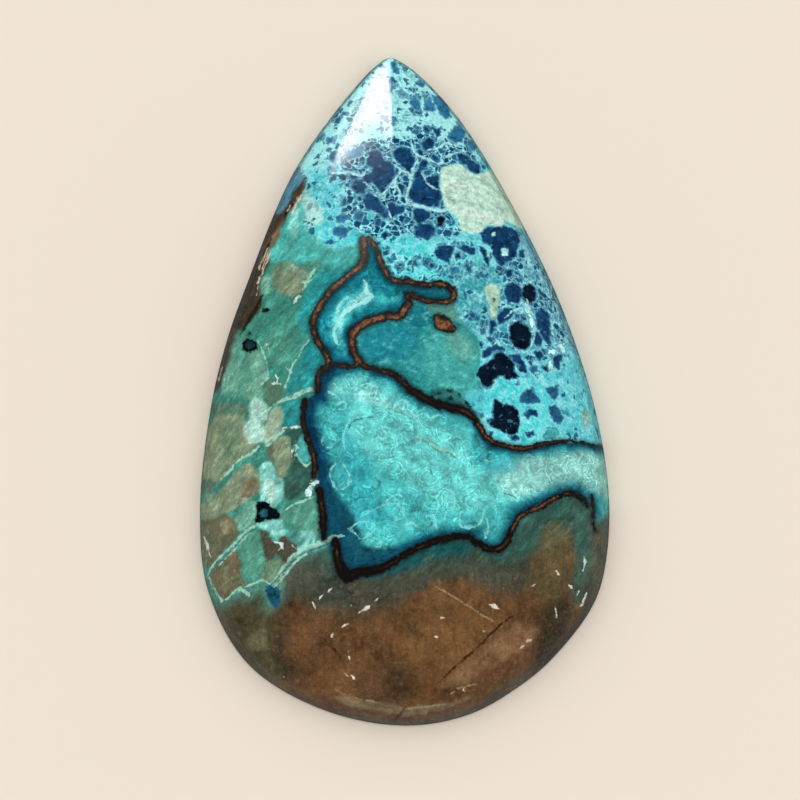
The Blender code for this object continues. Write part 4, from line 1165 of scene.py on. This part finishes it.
def seam_layer(places):
    """For each place, how far it is from the nearest seam's edge and from its brown core's, negative
    inside, and the half width of that core, which is also how strongly it is brown."""
    gaps = np.tile((SEAM_REACH, SEAM_REACH, 0.0), (len(places), 1))
    for knots in SEAMS:
        curve = curve_through(knots, False, PATH_PARTS)
        at = near(places, curve, SEAM_REACH)
        off, widths = nearest_on(places[at], curve)
        found = np.abs(off)[:, None] - widths
        closer = found[:, 0] < gaps[at, 0]
        gaps[at[closer], 2] = widths[closer, 1]
        gaps[at, :2] = np.minimum(gaps[at, :2], found)
    curve = curve_through(RUST_BLOB, True, PATH_PARTS)
    at = near(places, curve, SEAM_REACH)
    found = shape_gap(places[at], curve)
    gaps[at[found < gaps[at, 0]], 2] = RUST_STRENGTH
    gaps[at, :2] = np.minimum(gaps[at, :2], found[:, None] + RUST_INSETS)
    return gaps


def texture_layer(places):
    """How much each place has of fine breccia, banded gel, fibrous crust and smoky quartz."""
    shares = np.zeros((len(places), 4))
    for column, edge, outlines in TEXTURES:
        for knots in outlines:
            curve = curve_through(knots, True, SHAPE_PARTS)
            at = near(places, curve, edge)
            cover = softly(shape_gap(places[at], curve), edge)
            shares[at] *= 1 - cover[:, None]
            shares[at, column] += cover
    return shares


def chip_density(places):
    """What share of the fine breccia's chips is dark at each place."""
    density = np.full(len(places), CHIP_SHARE)
    for share, edge, knots in CHIPS:
        curve = curve_through(knots, True, SHAPE_PARTS)
        at = near(places, curve, edge)
        density[at] += softly(shape_gap(places[at], curve), edge) * (share - density[at])
    return density


# How large the fine patterns are, in millimetres. The scale of a noise or Voronoi texture is one over its
# size.
BRECCIA_SWIRL, VEIN_SWELL, BRECCIA_CLOUD = 0.55, 0.65, 0.6
CHIP_SIZES = ((0.85, 0.055), (0.4, 0.08))  # with how far the lines between them reach, as a share of that
GEL_CLOUD, GEL_BEND, GEL_DROP, GEL_SLOW_CURL, GEL_QUICK_CURL = 0.9, 1.1, 1.2, 1.7, 1.0
CRUST_FIBRE = 0.55
QUARTZ_CLOUD, QUARTZ_GRAIN, QUARTZ_STREAK, QUARTZ_FLAW = 2.2, 0.33, 1.0, 1.05
GREEN_MOTTLE, GREEN_VEINLET = 0.77, 1.3
FRAGMENT_MOTTLE, FRAGMENT_SPECK = 0.6, 0.38
LINE_BREAK = 0.5
SEAM_CRUMB, SEAM_STRETCH = 0.25, 0.65
FINE_GRAIN = 0.17  # coarser than chalcedony's own grain, so that it shows
NOISE_SPREAD = (0.3, 0.7)  # about where the values of a noise end

# How far a noise moves the edges of fragments, lines and seams, in grid steps, its size in millimetres,
# and what share of it each of them takes.
RAGGED_STEPS, RAGGED_SIZE = 3.6, 0.38
FRAGMENT_RAGGED, LINE_RAGGED, SEAM_RAGGED, CORE_RAGGED = 0.75, 0.6, 0.85, 0.45

# The polish: how rough it is, and how rough the ground back is, which ends between two heights above
# the table in millimetres. Seams are rougher than the stone beside them, and worn down, in millimetres.
POLISH_ROUGHNESS, BACK_ROUGHNESS, BACK_ENDS = 0.11, 0.5, (0.2, 0.5)
SEAM_ROUGHER, SEAM_WEAR, WEAR_STRENGTH = 0.22, 0.03, 0.12
REFRACTIVE_INDEX = 1.54

FACTOR, UNDER, OVER, RESULT = 0, 6, 7, 2  # sockets of a Mix node for colours
# The inputs of a MapRange node are a value, the ends of its range, and what they become.


def add_node(tree, kind, inputs=(), **settings):
    """Add a shader node with its settings, and with inputs that are values or sockets to link, either by
    name or number or simply in order. Gives the node's outputs."""
    node = tree.nodes.new("ShaderNode" + kind)
    for name, value in settings.items():
        setattr(node, name, value)
    for socket, source in inputs.items() if isinstance(inputs, dict) else enumerate(inputs):
        if isinstance(source, bpy.types.NodeSocket):
            tree.links.new(source, node.inputs[socket])
        else:
            node.inputs[socket].default_value = source
    return node.outputs


def shaded(add, colour, value, *ends):
    """The colour lighter and darker: times the value, brought from the first two ends to the last two."""
    light = add("MapRange", [value, *ends])[0]
    return add("VectorMath", {0: colour, "Scale": light}, operation="SCALE")[0]


def laid_over(add, under, over, *shares):
    """The colour with another over it, as far as the product of the shares. A share is a socket, or a value
    with the ends of its range and what they become."""
    parts = [add("MapRange", share)[0] if isinstance(share, list) else share for share in shares]
    cover = parts[0]
    for part in parts[1:]:
        cover = add("Math", [cover, part], operation="MULTIPLY")[0]
    if not isinstance(over, bpy.types.NodeSocket):
        over = (*over, 1)
    return add("Mix", {FACTOR: cover, UNDER: under, OVER: over}, data_type="RGBA")[RESULT]


def new_material(name):
    """A new material, its node tree and its main shader."""
    material = bpy.data.materials.new(name)
    material.use_nodes = True
    return material, material.node_tree, material.node_tree.nodes["Principled BSDF"]


def matt_paper(colours):
    """Uncoated paper: pale and matt, with hardly any gloss."""
    material, _, shader = new_material("matt_paper")
    shader.inputs["Base Color"].default_value = (*colours.paper, 1)
    shader.inputs["Roughness"].default_value = 0.9
    shader.inputs["Specular IOR Level"].default_value = 0.2
    return material


def fine_breccia(add, places, ground, density, colours):
    """Crushed shattuckite healed by quartz. The ground is clouded with pale quartz and teal. Over it lie
    chips 0.85 and 0.4 mm across, the cells of Voronoi textures whose places a noise bends. A cell is dark
    where its first random tone is below the chips' density, its second tone says how blue it is, and it
    has a blue fringe. Pale lines run along the cells' edges where the clouds and the density let them. A
    noise makes them swell and thin, and they are thinner where the chips lie thick."""
    swirl = add("TexNoise", {"Vector": places, "Scale": 1 / BRECCIA_SWIRL, "Detail": 6, "Roughness": 0.6})
    swell = add("TexNoise", {"Vector": places, "Scale": 1 / VEIN_SWELL, "Detail": 6, "Roughness": 0.8})
    widest = add("MapRange", [density, 0.3, 0.8, 2.6, 1.7])[0]
    thick = add("MapRange", [swell["Fac"], 0.36, 0.64, 0.2, widest])[0]
    bent = add("VectorMath", [swirl["Color"], (0.7, 0.7, 0.7), places], operation="MULTIPLY_ADD")[0]
    cloud = add(
        "TexNoise", {"Vector": bent, "Scale": 1 / BRECCIA_CLOUD, "Detail": 7, "Roughness": 0.75}
    )["Fac"]
    colour = laid_over(add, ground, colours.ice, [cloud, 0.53, 0.64, 0, 0.7])
    colour = laid_over(add, colour, linear(PEACOCK), [cloud, 0.48, 0.36, 0, 0.75])
    healed = add("MapRange", [cloud, 0.4, 0.56, 0.15, 0.95])[0]
    crushed = add("MapRange", [density, 0.15, 0.6, 0.4, 1])[0]
    deepest = add("MapRange", [density, 0.3, 0.6, 0.7, 0.97])[0]
    for spacing, network in CHIP_SIZES:
        spread = {"Vector": bent, "Scale": 1 / spacing}
        tones = add("SeparateColor", [add("TexVoronoi", spread)["Color"]])
        edges = add("TexVoronoi", spread, feature="DISTANCE_TO_EDGE")["Distance"]
        edges = add("Math", [edges, thick], operation="DIVIDE")[0]
        line = [edges, network * 0.3, network, 1, 0]
        colour = laid_over(add, colour, colours.ice, line, healed, crushed)
        short = add("Math", [density, tones["Red"]], operation="SUBTRACT")[0]
        dark = add("MapRange", [short, 0.0, 0.06, 0, deepest])[0]
        chip = laid_over(add, (*colours.navy, 1), linear(AZURE), [tones["Green"], 0.3, 0.95, 0, 0.8])
        fringe = network + 0.03
        for tint, start, end in ((linear(AZURE), network, fringe), (chip, fringe, fringe + 0.06)):
            colour = laid_over(add, colour, tint, [edges, start, end, 0, 1], dark)
    return colour


def banded_gel(add, places, ground):
    """Chrysocolla that set as a gel. It is cloudy at 0.9 mm, with dark and light rings 0.45 mm apart
    round some of the points where it began to set, and with curls. The rings are the distances of a
    Voronoi texture, folded back and forth, and the curls are the level lines of two noises, folded the
    same way."""
    cloud = add(
        "TexNoise",
        {"Vector": places, "Scale": 1 / GEL_CLOUD, "Detail": 5, "Roughness": 0.62, "Distortion": 0.5},
    )["Fac"]
    colour = shaded(add, ground, cloud, *NOISE_SPREAD, 0.5, 1.42)
    bend = add("TexNoise", {"Vector": places, "Scale": 1 / GEL_BEND, "Detail": 1})["Color"]
    bent = add("VectorMath", [bend, (1.1, 1.1, 1.1), places], operation="MULTIPLY_ADD")[0]
    drops = add("TexVoronoi", {"Vector": bent, "Scale": 1 / GEL_DROP})
    tones = add("SeparateColor", [drops["Color"]])
    ringed = add("MapRange", [tones["Red"], 0.3, 0.8, 0, 1])[0]
    hues = add("SeparateColor", [bend])
    curled = add("MapRange", [hues["Green"], 0.42, 0.55, 0.3, 1])[0]
    slow = add(
        "TexNoise", {"Vector": places, "Scale": 1 / GEL_SLOW_CURL, "Detail": 0.5, "Distortion": 1.2}
    )["Fac"]
    quick = add(
        "TexNoise", {"Vector": places, "Scale": 1 / GEL_QUICK_CURL, "Detail": 0.5, "Distortion": 1.0}
    )["Fac"]
    for level, folds, patchy in (
        (drops["Distance"], 2.6, ringed), (slow, 6.0, curled), (quick, 4.0, curled),
    ):
        many = add("Math", [level, folds], operation="MULTIPLY")[0]
        folded = add("Math", [many, 0.5], operation="PINGPONG")[0]
        for start, end, most, times in ((0.32, 0.2, 0.65, 0.68), (0.15, 0.07, 0.9, 1.6)):
            tint = add("VectorMath", {0: colour, "Scale": times}, operation="SCALE")[0]
            colour = laid_over(add, colour, tint, [folded, start, end, 0, most], patchy)
    return colour


def fibrous_crust(add, places, ground):
    """A crust of fibres: grains of 0.55 mm and finer, a third wider than long, which are a noise squeezed
    one way, lighter and darker, with pale and dark wisps where the noise's own colours are strong."""
    drawn = add("Mapping", {"Vector": places, "Rotation": (0, 0, radians(-50)), "Scale": (1, 1.35, 1)})[0]
    fibres = add("TexNoise", {"Vector": drawn, "Scale": 1 / CRUST_FIBRE, "Detail": 9, "Roughness": 0.74})
    colour = shaded(add, ground, fibres["Fac"], *NOISE_SPREAD, 0.5, 1.4)
    hues = add("SeparateColor", [fibres["Color"]])
    colour = laid_over(add, colour, linear(MILK), [hues["Red"], 0.56, 0.68, 0, 0.5])
    return laid_over(add, colour, linear(PETROL), [hues["Green"], 0.55, 0.67, 0, 0.5])


def smoky_quartz(add, places, ground):
    """Quartz stained brown: cloudy at 2 mm, speckled at 0.3 mm and finer with tan, dark and grey grains,
    streaked along the stone by a noise squeezed sideways, and with pinpoint flaws in the middle of some
    Voronoi cells."""
    cloud = add(
        "TexNoise", {"Vector": places, "Scale": 1 / QUARTZ_CLOUD, "Detail": 12, "Roughness": 0.74}
    )["Fac"]
    colour = shaded(add, ground, cloud, 0.32, 0.68, 0.3, 1.7)
    speckle = add("TexNoise", {"Vector": places, "Scale": 1 / QUARTZ_GRAIN, "Detail": 8, "Roughness": 0.85})
    hues = add("SeparateColor", [speckle["Color"]])
    for hue, tint, most in (("Red", FAWN, 0.55), ("Green", BARK, 0.75), ("Blue", SMOKE, 0.4)):
        colour = laid_over(add, colour, linear(tint), [hues[hue], 0.52, 0.66, 0, most])
    drawn = add("Mapping", {"Vector": places, "Rotation": (0, 0, radians(8)), "Scale": (3.6, 0.5, 1)})[0]
    streaks = add(
        "TexNoise", {"Vector": drawn, "Scale": 1 / QUARTZ_STREAK, "Detail": 6, "Roughness": 0.7}
    )["Fac"]
    colour = shaded(add, colour, streaks, *NOISE_SPREAD, 0.78, 1.22)
    flaws = add("TexVoronoi", {"Vector": places, "Scale": 1 / QUARTZ_FLAW})
    tones = add("SeparateColor", [flaws["Color"]])
    rare, point = [tones["Red"], 0.6, 0.95, 0, 0.9], [flaws["Distance"], 0.03, 0.07, 1, 0]
    return laid_over(add, colour, linear(SAND), rare, point)


def green_matrix(add, places, ground):
    """Chalcedony stained by chrysocolla and malachite: mottled, with olive, teal and pale patches 1.3 by
    0.5 mm, a noise drawn out along a diagonal, and with pale veinlets along the folded level lines of a
    slower one."""
    drawn = add(
        "Mapping", {"Vector": places, "Rotation": (0, 0, radians(48)), "Scale": (1.7, 0.65, 1)},
        vector_type="TEXTURE",
    )[0]
    mottle = add("TexNoise", {"Vector": drawn, "Scale": 1 / GREEN_MOTTLE, "Detail": 9, "Roughness": 0.76})
    colour = shaded(add, ground, mottle["Fac"], *NOISE_SPREAD, 0.5, 1.4)
    hues = add("SeparateColor", [mottle["Color"]])
    lit = add("VectorMath", {0: ground, "Scale": 1.8}, operation="SCALE")[0]
    tints = {"Green": (linear(OLIVE_SAGE), 0.45), "Blue": (linear(DEEP_SEA), 0.6), "Red": (lit, 0.8)}
    for hue, (tint, most) in tints.items():
        colour = laid_over(add, colour, tint, [hues[hue], 0.53, 0.66, 0, most])
    slow = add(
        "TexNoise", {"Vector": drawn, "Scale": 1 / GREEN_VEINLET, "Detail": 5, "Roughness": 0.6}
    )["Fac"]
    many = add("Math", [slow, 9.0], operation="MULTIPLY")[0]
    level = add("Math", [many, 0.5], operation="PINGPONG")[0]
    veinlet, patchy = [level, 0.01, 0.06, 0.7, 0], [hues["Green"], 0.5, 0.42, 0, 1]
    tint = add("VectorMath", {0: ground, "Scale": 2.6}, operation="SCALE")[0]
    return laid_over(add, colour, tint, veinlet, patchy)


def with_fragments(add, places, colour, layer, breccia, uneven, colours):
    """The colour with the crisp fragments over it, each mottled by a noise. In the fine breccia they also
    have specks that show what lies under them, a blue fringe and a faint pale line of quartz round
    them."""
    gap = add("Math", [uneven, FRAGMENT_RAGGED, layer["Alpha"]], operation="MULTIPLY_ADD")[0]
    colour = laid_over(add, colour, colours.ice, [gap, 2.6, 1.5, 0, 0.35], breccia)
    colour = laid_over(add, colour, linear(AZURE), [gap, 1.6, 0.6, 0, 0.8], breccia)
    mottle = add(
        "TexNoise", {"Vector": places, "Scale": 1 / FRAGMENT_MOTTLE, "Detail": 7, "Roughness": 0.75}
    )["Fac"]
    tint = shaded(add, layer["Color"], mottle, 0.32, 0.68, 0.25, 1.9)
    specks = add(
        "TexNoise", {"Vector": places, "Scale": 1 / FRAGMENT_SPECK, "Detail": 5, "Roughness": 0.7}
    )["Fac"]
    broken = add("MapRange", [specks, 0.58, 0.66, 0, 0.7])[0]
    open_share = add("Math", [broken, breccia], operation="MULTIPLY")[0]
    whole = add("Math", [1.0, open_share], operation="SUBTRACT")[0]
    return laid_over(add, colour, tint, [gap, -0.9, 0.6, 1, 0], whole)


def with_lines(add, places, colour, tint, layer, uneven):
    """The colour with the thin lines over it. A point is on one where its signed distance is less than
    the half width, made ragged, and its unsigned distance shows that it isn't half way between two lines,
    where the sign changes too. A noise thins the colour in places."""
    offsets = add("SeparateXYZ", [layer["Vector"]])
    side = add("Math", [offsets["X"]], operation="ABSOLUTE")[0]
    past = add("Math", [side, offsets["Z"]], operation="SUBTRACT")[0]
    ragged = add("Math", [uneven, LINE_RAGGED, past], operation="MULTIPLY_ADD")[0]
    beyond = add("Math", [offsets["Y"], offsets["Z"]], operation="SUBTRACT")[0]
    noise = add(
        "TexNoise", {"Vector": places, "Scale": 1 / LINE_BREAK, "Detail": 6, "Roughness": 0.75}
    )["Fac"]
    narrow, close, kept = [ragged, -0.5, 0.5, 1, 0], [beyond, 1.2, 1.8, 1, 0], [noise, 0.36, 0.5, 0.4, 1]
    return laid_over(add, colour, tint["Color"], narrow, close, kept)


def with_seams(add, places, colour, layer, uneven, colours):
    """The colour with the seams over it, and how much of a place is seam: a dark stain that fades into
    the stone, a black edge, and a brown core that crumbles, and fades where a slower noise lets the black
    through."""
    gaps = add("SeparateXYZ", [layer["Vector"]])
    colour = laid_over(add, colour, linear(SEAM_SHADE), [gaps["X"], 0.0, 4.0, 0.6, 0])
    gap = add("Math", [uneven, SEAM_RAGGED, gaps["X"]], operation="MULTIPLY_ADD")[0]
    seam = add("MapRange", [gap, -0.8, 0.8, 1, 0])[0]
    colour = laid_over(add, colour, colours.edge, seam)
    crumbs = add(
        "TexNoise", {"Vector": places, "Scale": 1 / SEAM_CRUMB, "Detail": 6, "Roughness": 0.78}
    )["Fac"]
    rusty = add("MapRange", [gaps["Z"], 0.6, 2.2, 0.4, 1.9])[0]
    brown = shaded(add, tuple(colours.core), crumbs, 0.36, 0.66, 0.1, rusty)
    within = add("Math", [gap, 1.5], operation="ADD")[0]
    gap = add("Math", [uneven, CORE_RAGGED, gaps["Y"]], operation="MULTIPLY_ADD")[0]
    gap = add("Math", [gap, within], operation="MAXIMUM")[0]
    stretch = add("TexNoise", {"Vector": places, "Scale": 1 / SEAM_STRETCH, "Detail": 4})["Fac"]
    core, lasting = [gap, -1.7, 0.1, 1, 0], [stretch, 0.4, 0.56, 0.2, 1]
    return laid_over(add, colour, brown, core, lasting), seam


def gloss(add, places, seam):
    """The roughness and the normal of the polish: glassy on the dome, duller in the seams, which are
    softer and wear a little deeper than the stone beside them, and ground matt on the back and its
    bevel."""
    height = add("SeparateXYZ", [places])["Z"]
    unworn = add("MapRange", [height, *BACK_ENDS, BACK_ROUGHNESS, POLISH_ROUGHNESS])[0]
    roughness = add("Math", [seam, SEAM_ROUGHER, unworn], operation="MULTIPLY_ADD")[0]
    low = add("Math", [1.0, seam], operation="SUBTRACT")[0]
    bump = {"Height": low, "Strength": WEAR_STRENGTH, "Distance": SEAM_WEAR * MM}
    return roughness, add("Bump", bump)["Normal"]


def polished_stone(name, colours):
    """Shattuckite, chrysocolla and chalcedony, cut across and polished. The fine textures lie over each
    other by their shares, then come the fragments, the lines and the seams, and last a grain over all."""
    material, tree, shader = new_material(name)
    add = partial(add_node, tree)
    coordinates = add("TexCoord")["Object"]
    places = add("VectorMath", {0: coordinates, "Scale": 1 / MM}, operation="SCALE")[0]
    layers = {
        layer: add("Attribute", attribute_name=layer)
        for layer in ("ground", "fragments", "textures", "line_colour", "line_offsets", "seam_gaps")
    }
    ground, density = layers["ground"]["Color"], layers["ground"]["Alpha"]
    shares = add("SeparateColor", [layers["textures"]["Color"]])

    colour = green_matrix(add, places, ground)
    textures = (
        (shares["Red"], fine_breccia(add, places, ground, density, colours)),
        (shares["Green"], banded_gel(add, places, ground)),
        (shares["Blue"], fibrous_crust(add, places, ground)),
        (layers["textures"]["Alpha"], smoky_quartz(add, places, ground)),
    )
    for share, texture in textures:
        colour = laid_over(add, colour, texture, share)

    ragged = add(
        "TexNoise", {"Vector": places, "Scale": 1 / RAGGED_SIZE, "Detail": 7, "Roughness": 0.7}
    )["Fac"]
    uneven = add("MapRange", [ragged, 0.25, 0.75, -RAGGED_STEPS, RAGGED_STEPS])[0]
    colour = with_fragments(add, places, colour, layers["fragments"], shares["Red"], uneven, colours)
    colour = with_lines(add, places, colour, layers["line_colour"], layers["line_offsets"], uneven)
    colour, seam = with_seams(add, places, colour, layers["seam_gaps"], uneven, colours)

    grain = add(
        "TexNoise", {"Vector": places, "Scale": 1 / FINE_GRAIN, "Detail": 3, "Roughness": 0.65}
    )["Fac"]
    colour = shaded(add, colour, grain, *NOISE_SPREAD, 0.8, 1.2)
    roughness, normal = gloss(add, places, seam)
    for socket, source in {"Base Color": colour, "Roughness": roughness, "Normal": normal}.items():
        tree.links.new(source, shader.inputs[socket])
    shader.inputs["IOR"].default_value = REFRACTIVE_INDEX
    return material


def mesh_object(name, points, faces, material):
    """A smooth mesh in the scene, its points given in millimetres."""
    mesh = bpy.data.meshes.new(name)
    mesh.from_pydata((points * MM).tolist(), [], faces)
    mesh.materials.append(material)
    mesh.shade_smooth()
    thing = bpy.data.objects.new(name, mesh)
    bpy.context.scene.collection.objects.link(thing)
    return thing


def add_layer(mesh, name, values):
    """Keep a row of values for each point: four columns as a colour, and three as a vector."""
    kind, field = {4: ("FLOAT_COLOR", "color"), 3: ("FLOAT_VECTOR", "vector")}[values.shape[1]]
    layer = mesh.attributes.new(name, kind, "POINT")
    layer.data.foreach_set(field, values.astype(np.float32).ravel())


def paint_stone(mesh, points, colours):
    """Work out the pattern's layers at every point. Places moved by noise make the soft areas' edges
    waver."""
    places = pattern_places(points)
    moves = [sum(far * waver(places, size, seed + n) for far, size, seed in WAVERS) for n in (0, 1)]
    wavered = places + np.stack(moves, axis=1)
    ground = painted_ground(wavered)
    line_colour, line_offsets = line_layers(places, ground, tuple(colours.glint))
    add_layer(mesh, "ground", np.hstack([ground, chip_density(places)[:, None]]))
    add_layer(mesh, "fragments", fragment_layer(places))
    add_layer(mesh, "textures", texture_layer(wavered))
    add_layer(mesh, "line_colour", line_colour)
    add_layer(mesh, "line_offsets", line_offsets)
    add_layer(mesh, "seam_gaps", seam_layer(places))


class CABOCHON_OT_add_stone(bpy.types.Operator):
    """Add the polished stone"""

    bl_idname = "cabochon.add_stone"
    bl_label = "Polished stone"

    def execute(self, context):
        sizes, colours = context.scene.stone_sizes, context.scene.stone_colours
        points, faces = stone_points(sizes)
        stone = mesh_object("polished_stone", points, faces, polished_stone("polished_stone", colours))
        paint_stone(stone.data, points, colours)
        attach(stone, "root")
        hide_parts("shattuckite_cabochon")
        return {"FINISHED"}


def aimed(name, data, place, target, roll=0.0):
    """A camera or a light at a place, looking at the target, and rolled about that line by degrees."""
    thing = bpy.data.objects.new(name, data)
    thing.location = place
    facing = (Vector(target) - Vector(place)).to_track_quat("-Z", "Y")
    thing.rotation_euler = (facing @ Quaternion((0, 0, 1), radians(roll))).to_euler()
    bpy.context.scene.collection.objects.link(thing)
    return thing


def towards(azimuth, elevation):
    """The unit direction at an azimuth, clockwise from +Y seen from above, and an elevation."""
    flat, up = cos(radians(elevation)), sin(radians(elevation))
    return Vector((sin(radians(azimuth)) * flat, cos(radians(azimuth)) * flat, up))


def area_light(name, place, target, size, watts, seen_by, roll=0.0):
    """A rectangle of light that only shines as diffuse light or only shows in gloss, as seen_by says."""
    data = bpy.data.lights.new(name, "AREA")
    data.shape = "RECTANGLE"
    data.size, data.size_y = size
    data.energy = watts
    thing = aimed(name, data, place, target, roll)
    thing.visible_diffuse, thing.visible_glossy = seen_by == "diffuse", seen_by == "gloss"
    return thing


def dim_room():
    """A room with even light. In gloss it is dark, with faint walls that fade up and behind the tip."""
    world = bpy.data.worlds.new("dim_room")
    world.use_nodes = True
    tree = world.node_tree
    background = tree.nodes["Background"]
    background.inputs["Color"].default_value = (1, 1, 1, 1)
    add = partial(add_node, tree)
    direction = add("TexCoord")["Generated"]
    along = add("SeparateXYZ", [direction])
    walls = add("MapRange", [along["Z"], 0.0, WALL_RISE, WALL_LIGHT, 0])[0]
    nearer = add("MapRange", [along["Y"], 0.6, -0.1, 0.1, 1])[0]
    in_gloss = add("Math", [walls, nearer], operation="MULTIPLY")[0]
    is_gloss = add("LightPath")["Is Glossy Ray"]
    strength = add("Mix", {0: is_gloss, 2: ROOM_LIGHT, 3: in_gloss}, data_type="FLOAT")[0]
    tree.links.new(strength, background.inputs["Strength"])
    return world


class CABOCHON_OT_add_stage(bpy.types.Operator):
    """Add the table, the lights and the camera"""

    bl_idname = "cabochon.add_stage"
    bl_label = "Table, lights and camera"

    def execute(self, context):
        scene = context.scene
        sizes, colours = scene.stage_sizes, scene.stage_colours
        half = sizes.table / MM / 2
        corners = np.array([(-half, -half, 0), (half, -half, 0), (half, half, 0), (-half, half, 0)])
        table = mesh_object("table", corners, [(0, 1, 2, 3)], matt_paper(colours))
        table.visible_glossy = False
        target = Vector((*VIEW_MIDDLE, 0)) * MM
        camera = bpy.data.cameras.new("camera")
        camera.sensor_width, camera.lens = SENSOR_WIDTH, LENS
        camera.clip_start, camera.clip_end = NEAREST, FARTHEST
        away = Vector((0, -cos(VIEW_ELEVATION), sin(VIEW_ELEVATION))) * VIEW_DISTANCE * MM
        scene.camera = aimed("camera", camera, target + away, target)
        overhead = Vector((0, 0, OVERHEAD_HEIGHT))
        square = (OVERHEAD_SIDE, OVERHEAD_SIDE)
        area_light("soft_overhead", overhead, (0, 0, 0), square, OVERHEAD_POWER, "diffuse")
        nose = Vector(NOSE)
        for name, direction, sides, watts in WINDOWS:
            place = nose + towards(*direction) * WINDOW_DISTANCE
            area_light(name, place, nose, sides, watts, "gloss", WINDOW_ROLL)
        scene.world = dim_room()
        scene.view_settings.view_transform = "Standard"
        return {"FINISHED"}


class CABOCHON_PT_panel(bpy.types.Panel):
    """Lists the stone's and the stage's pieces and settings"""

    bl_idname = "CABOCHON_PT_panel"
    bl_label = "Cabochon"
    bl_space_type = "VIEW_3D"
    bl_region_type = "UI"
    bl_category = "Cabochon"

    def draw(self, context):
        for group in SETTINGS:
            box = self.layout.box()
            settings = getattr(context.scene, group)
            for name in settings.__annotations__:
                box.prop(settings, name)
        for operator in OPERATORS:
            self.layout.operator(operator.bl_idname)


SETTINGS = {
    "stone_sizes": StoneSizes,
    "stone_colours": StoneColours,
    "stage_sizes": StageSizes,
    "stage_colours": StageColours,
}
OPERATORS = (CABOCHON_OT_add_stone, CABOCHON_OT_add_stage)
CLASSES = (*SETTINGS.values(), *OPERATORS, CABOCHON_PT_panel)


def register():
    for cls in CLASSES:
        bpy.utils.register_class(cls)
    for name, group in SETTINGS.items():
        setattr(bpy.types.Scene, name, PointerProperty(type=group))


def unregister():
    for name in SETTINGS:
        delattr(bpy.types.Scene, name)
    for cls in reversed(CLASSES):
        bpy.utils.unregister_class(cls)


def main():
    register()
    bpy.ops.cabochon.add_stone()
    bpy.ops.cabochon.add_stage()


if __name__ == "__main__":
    main()
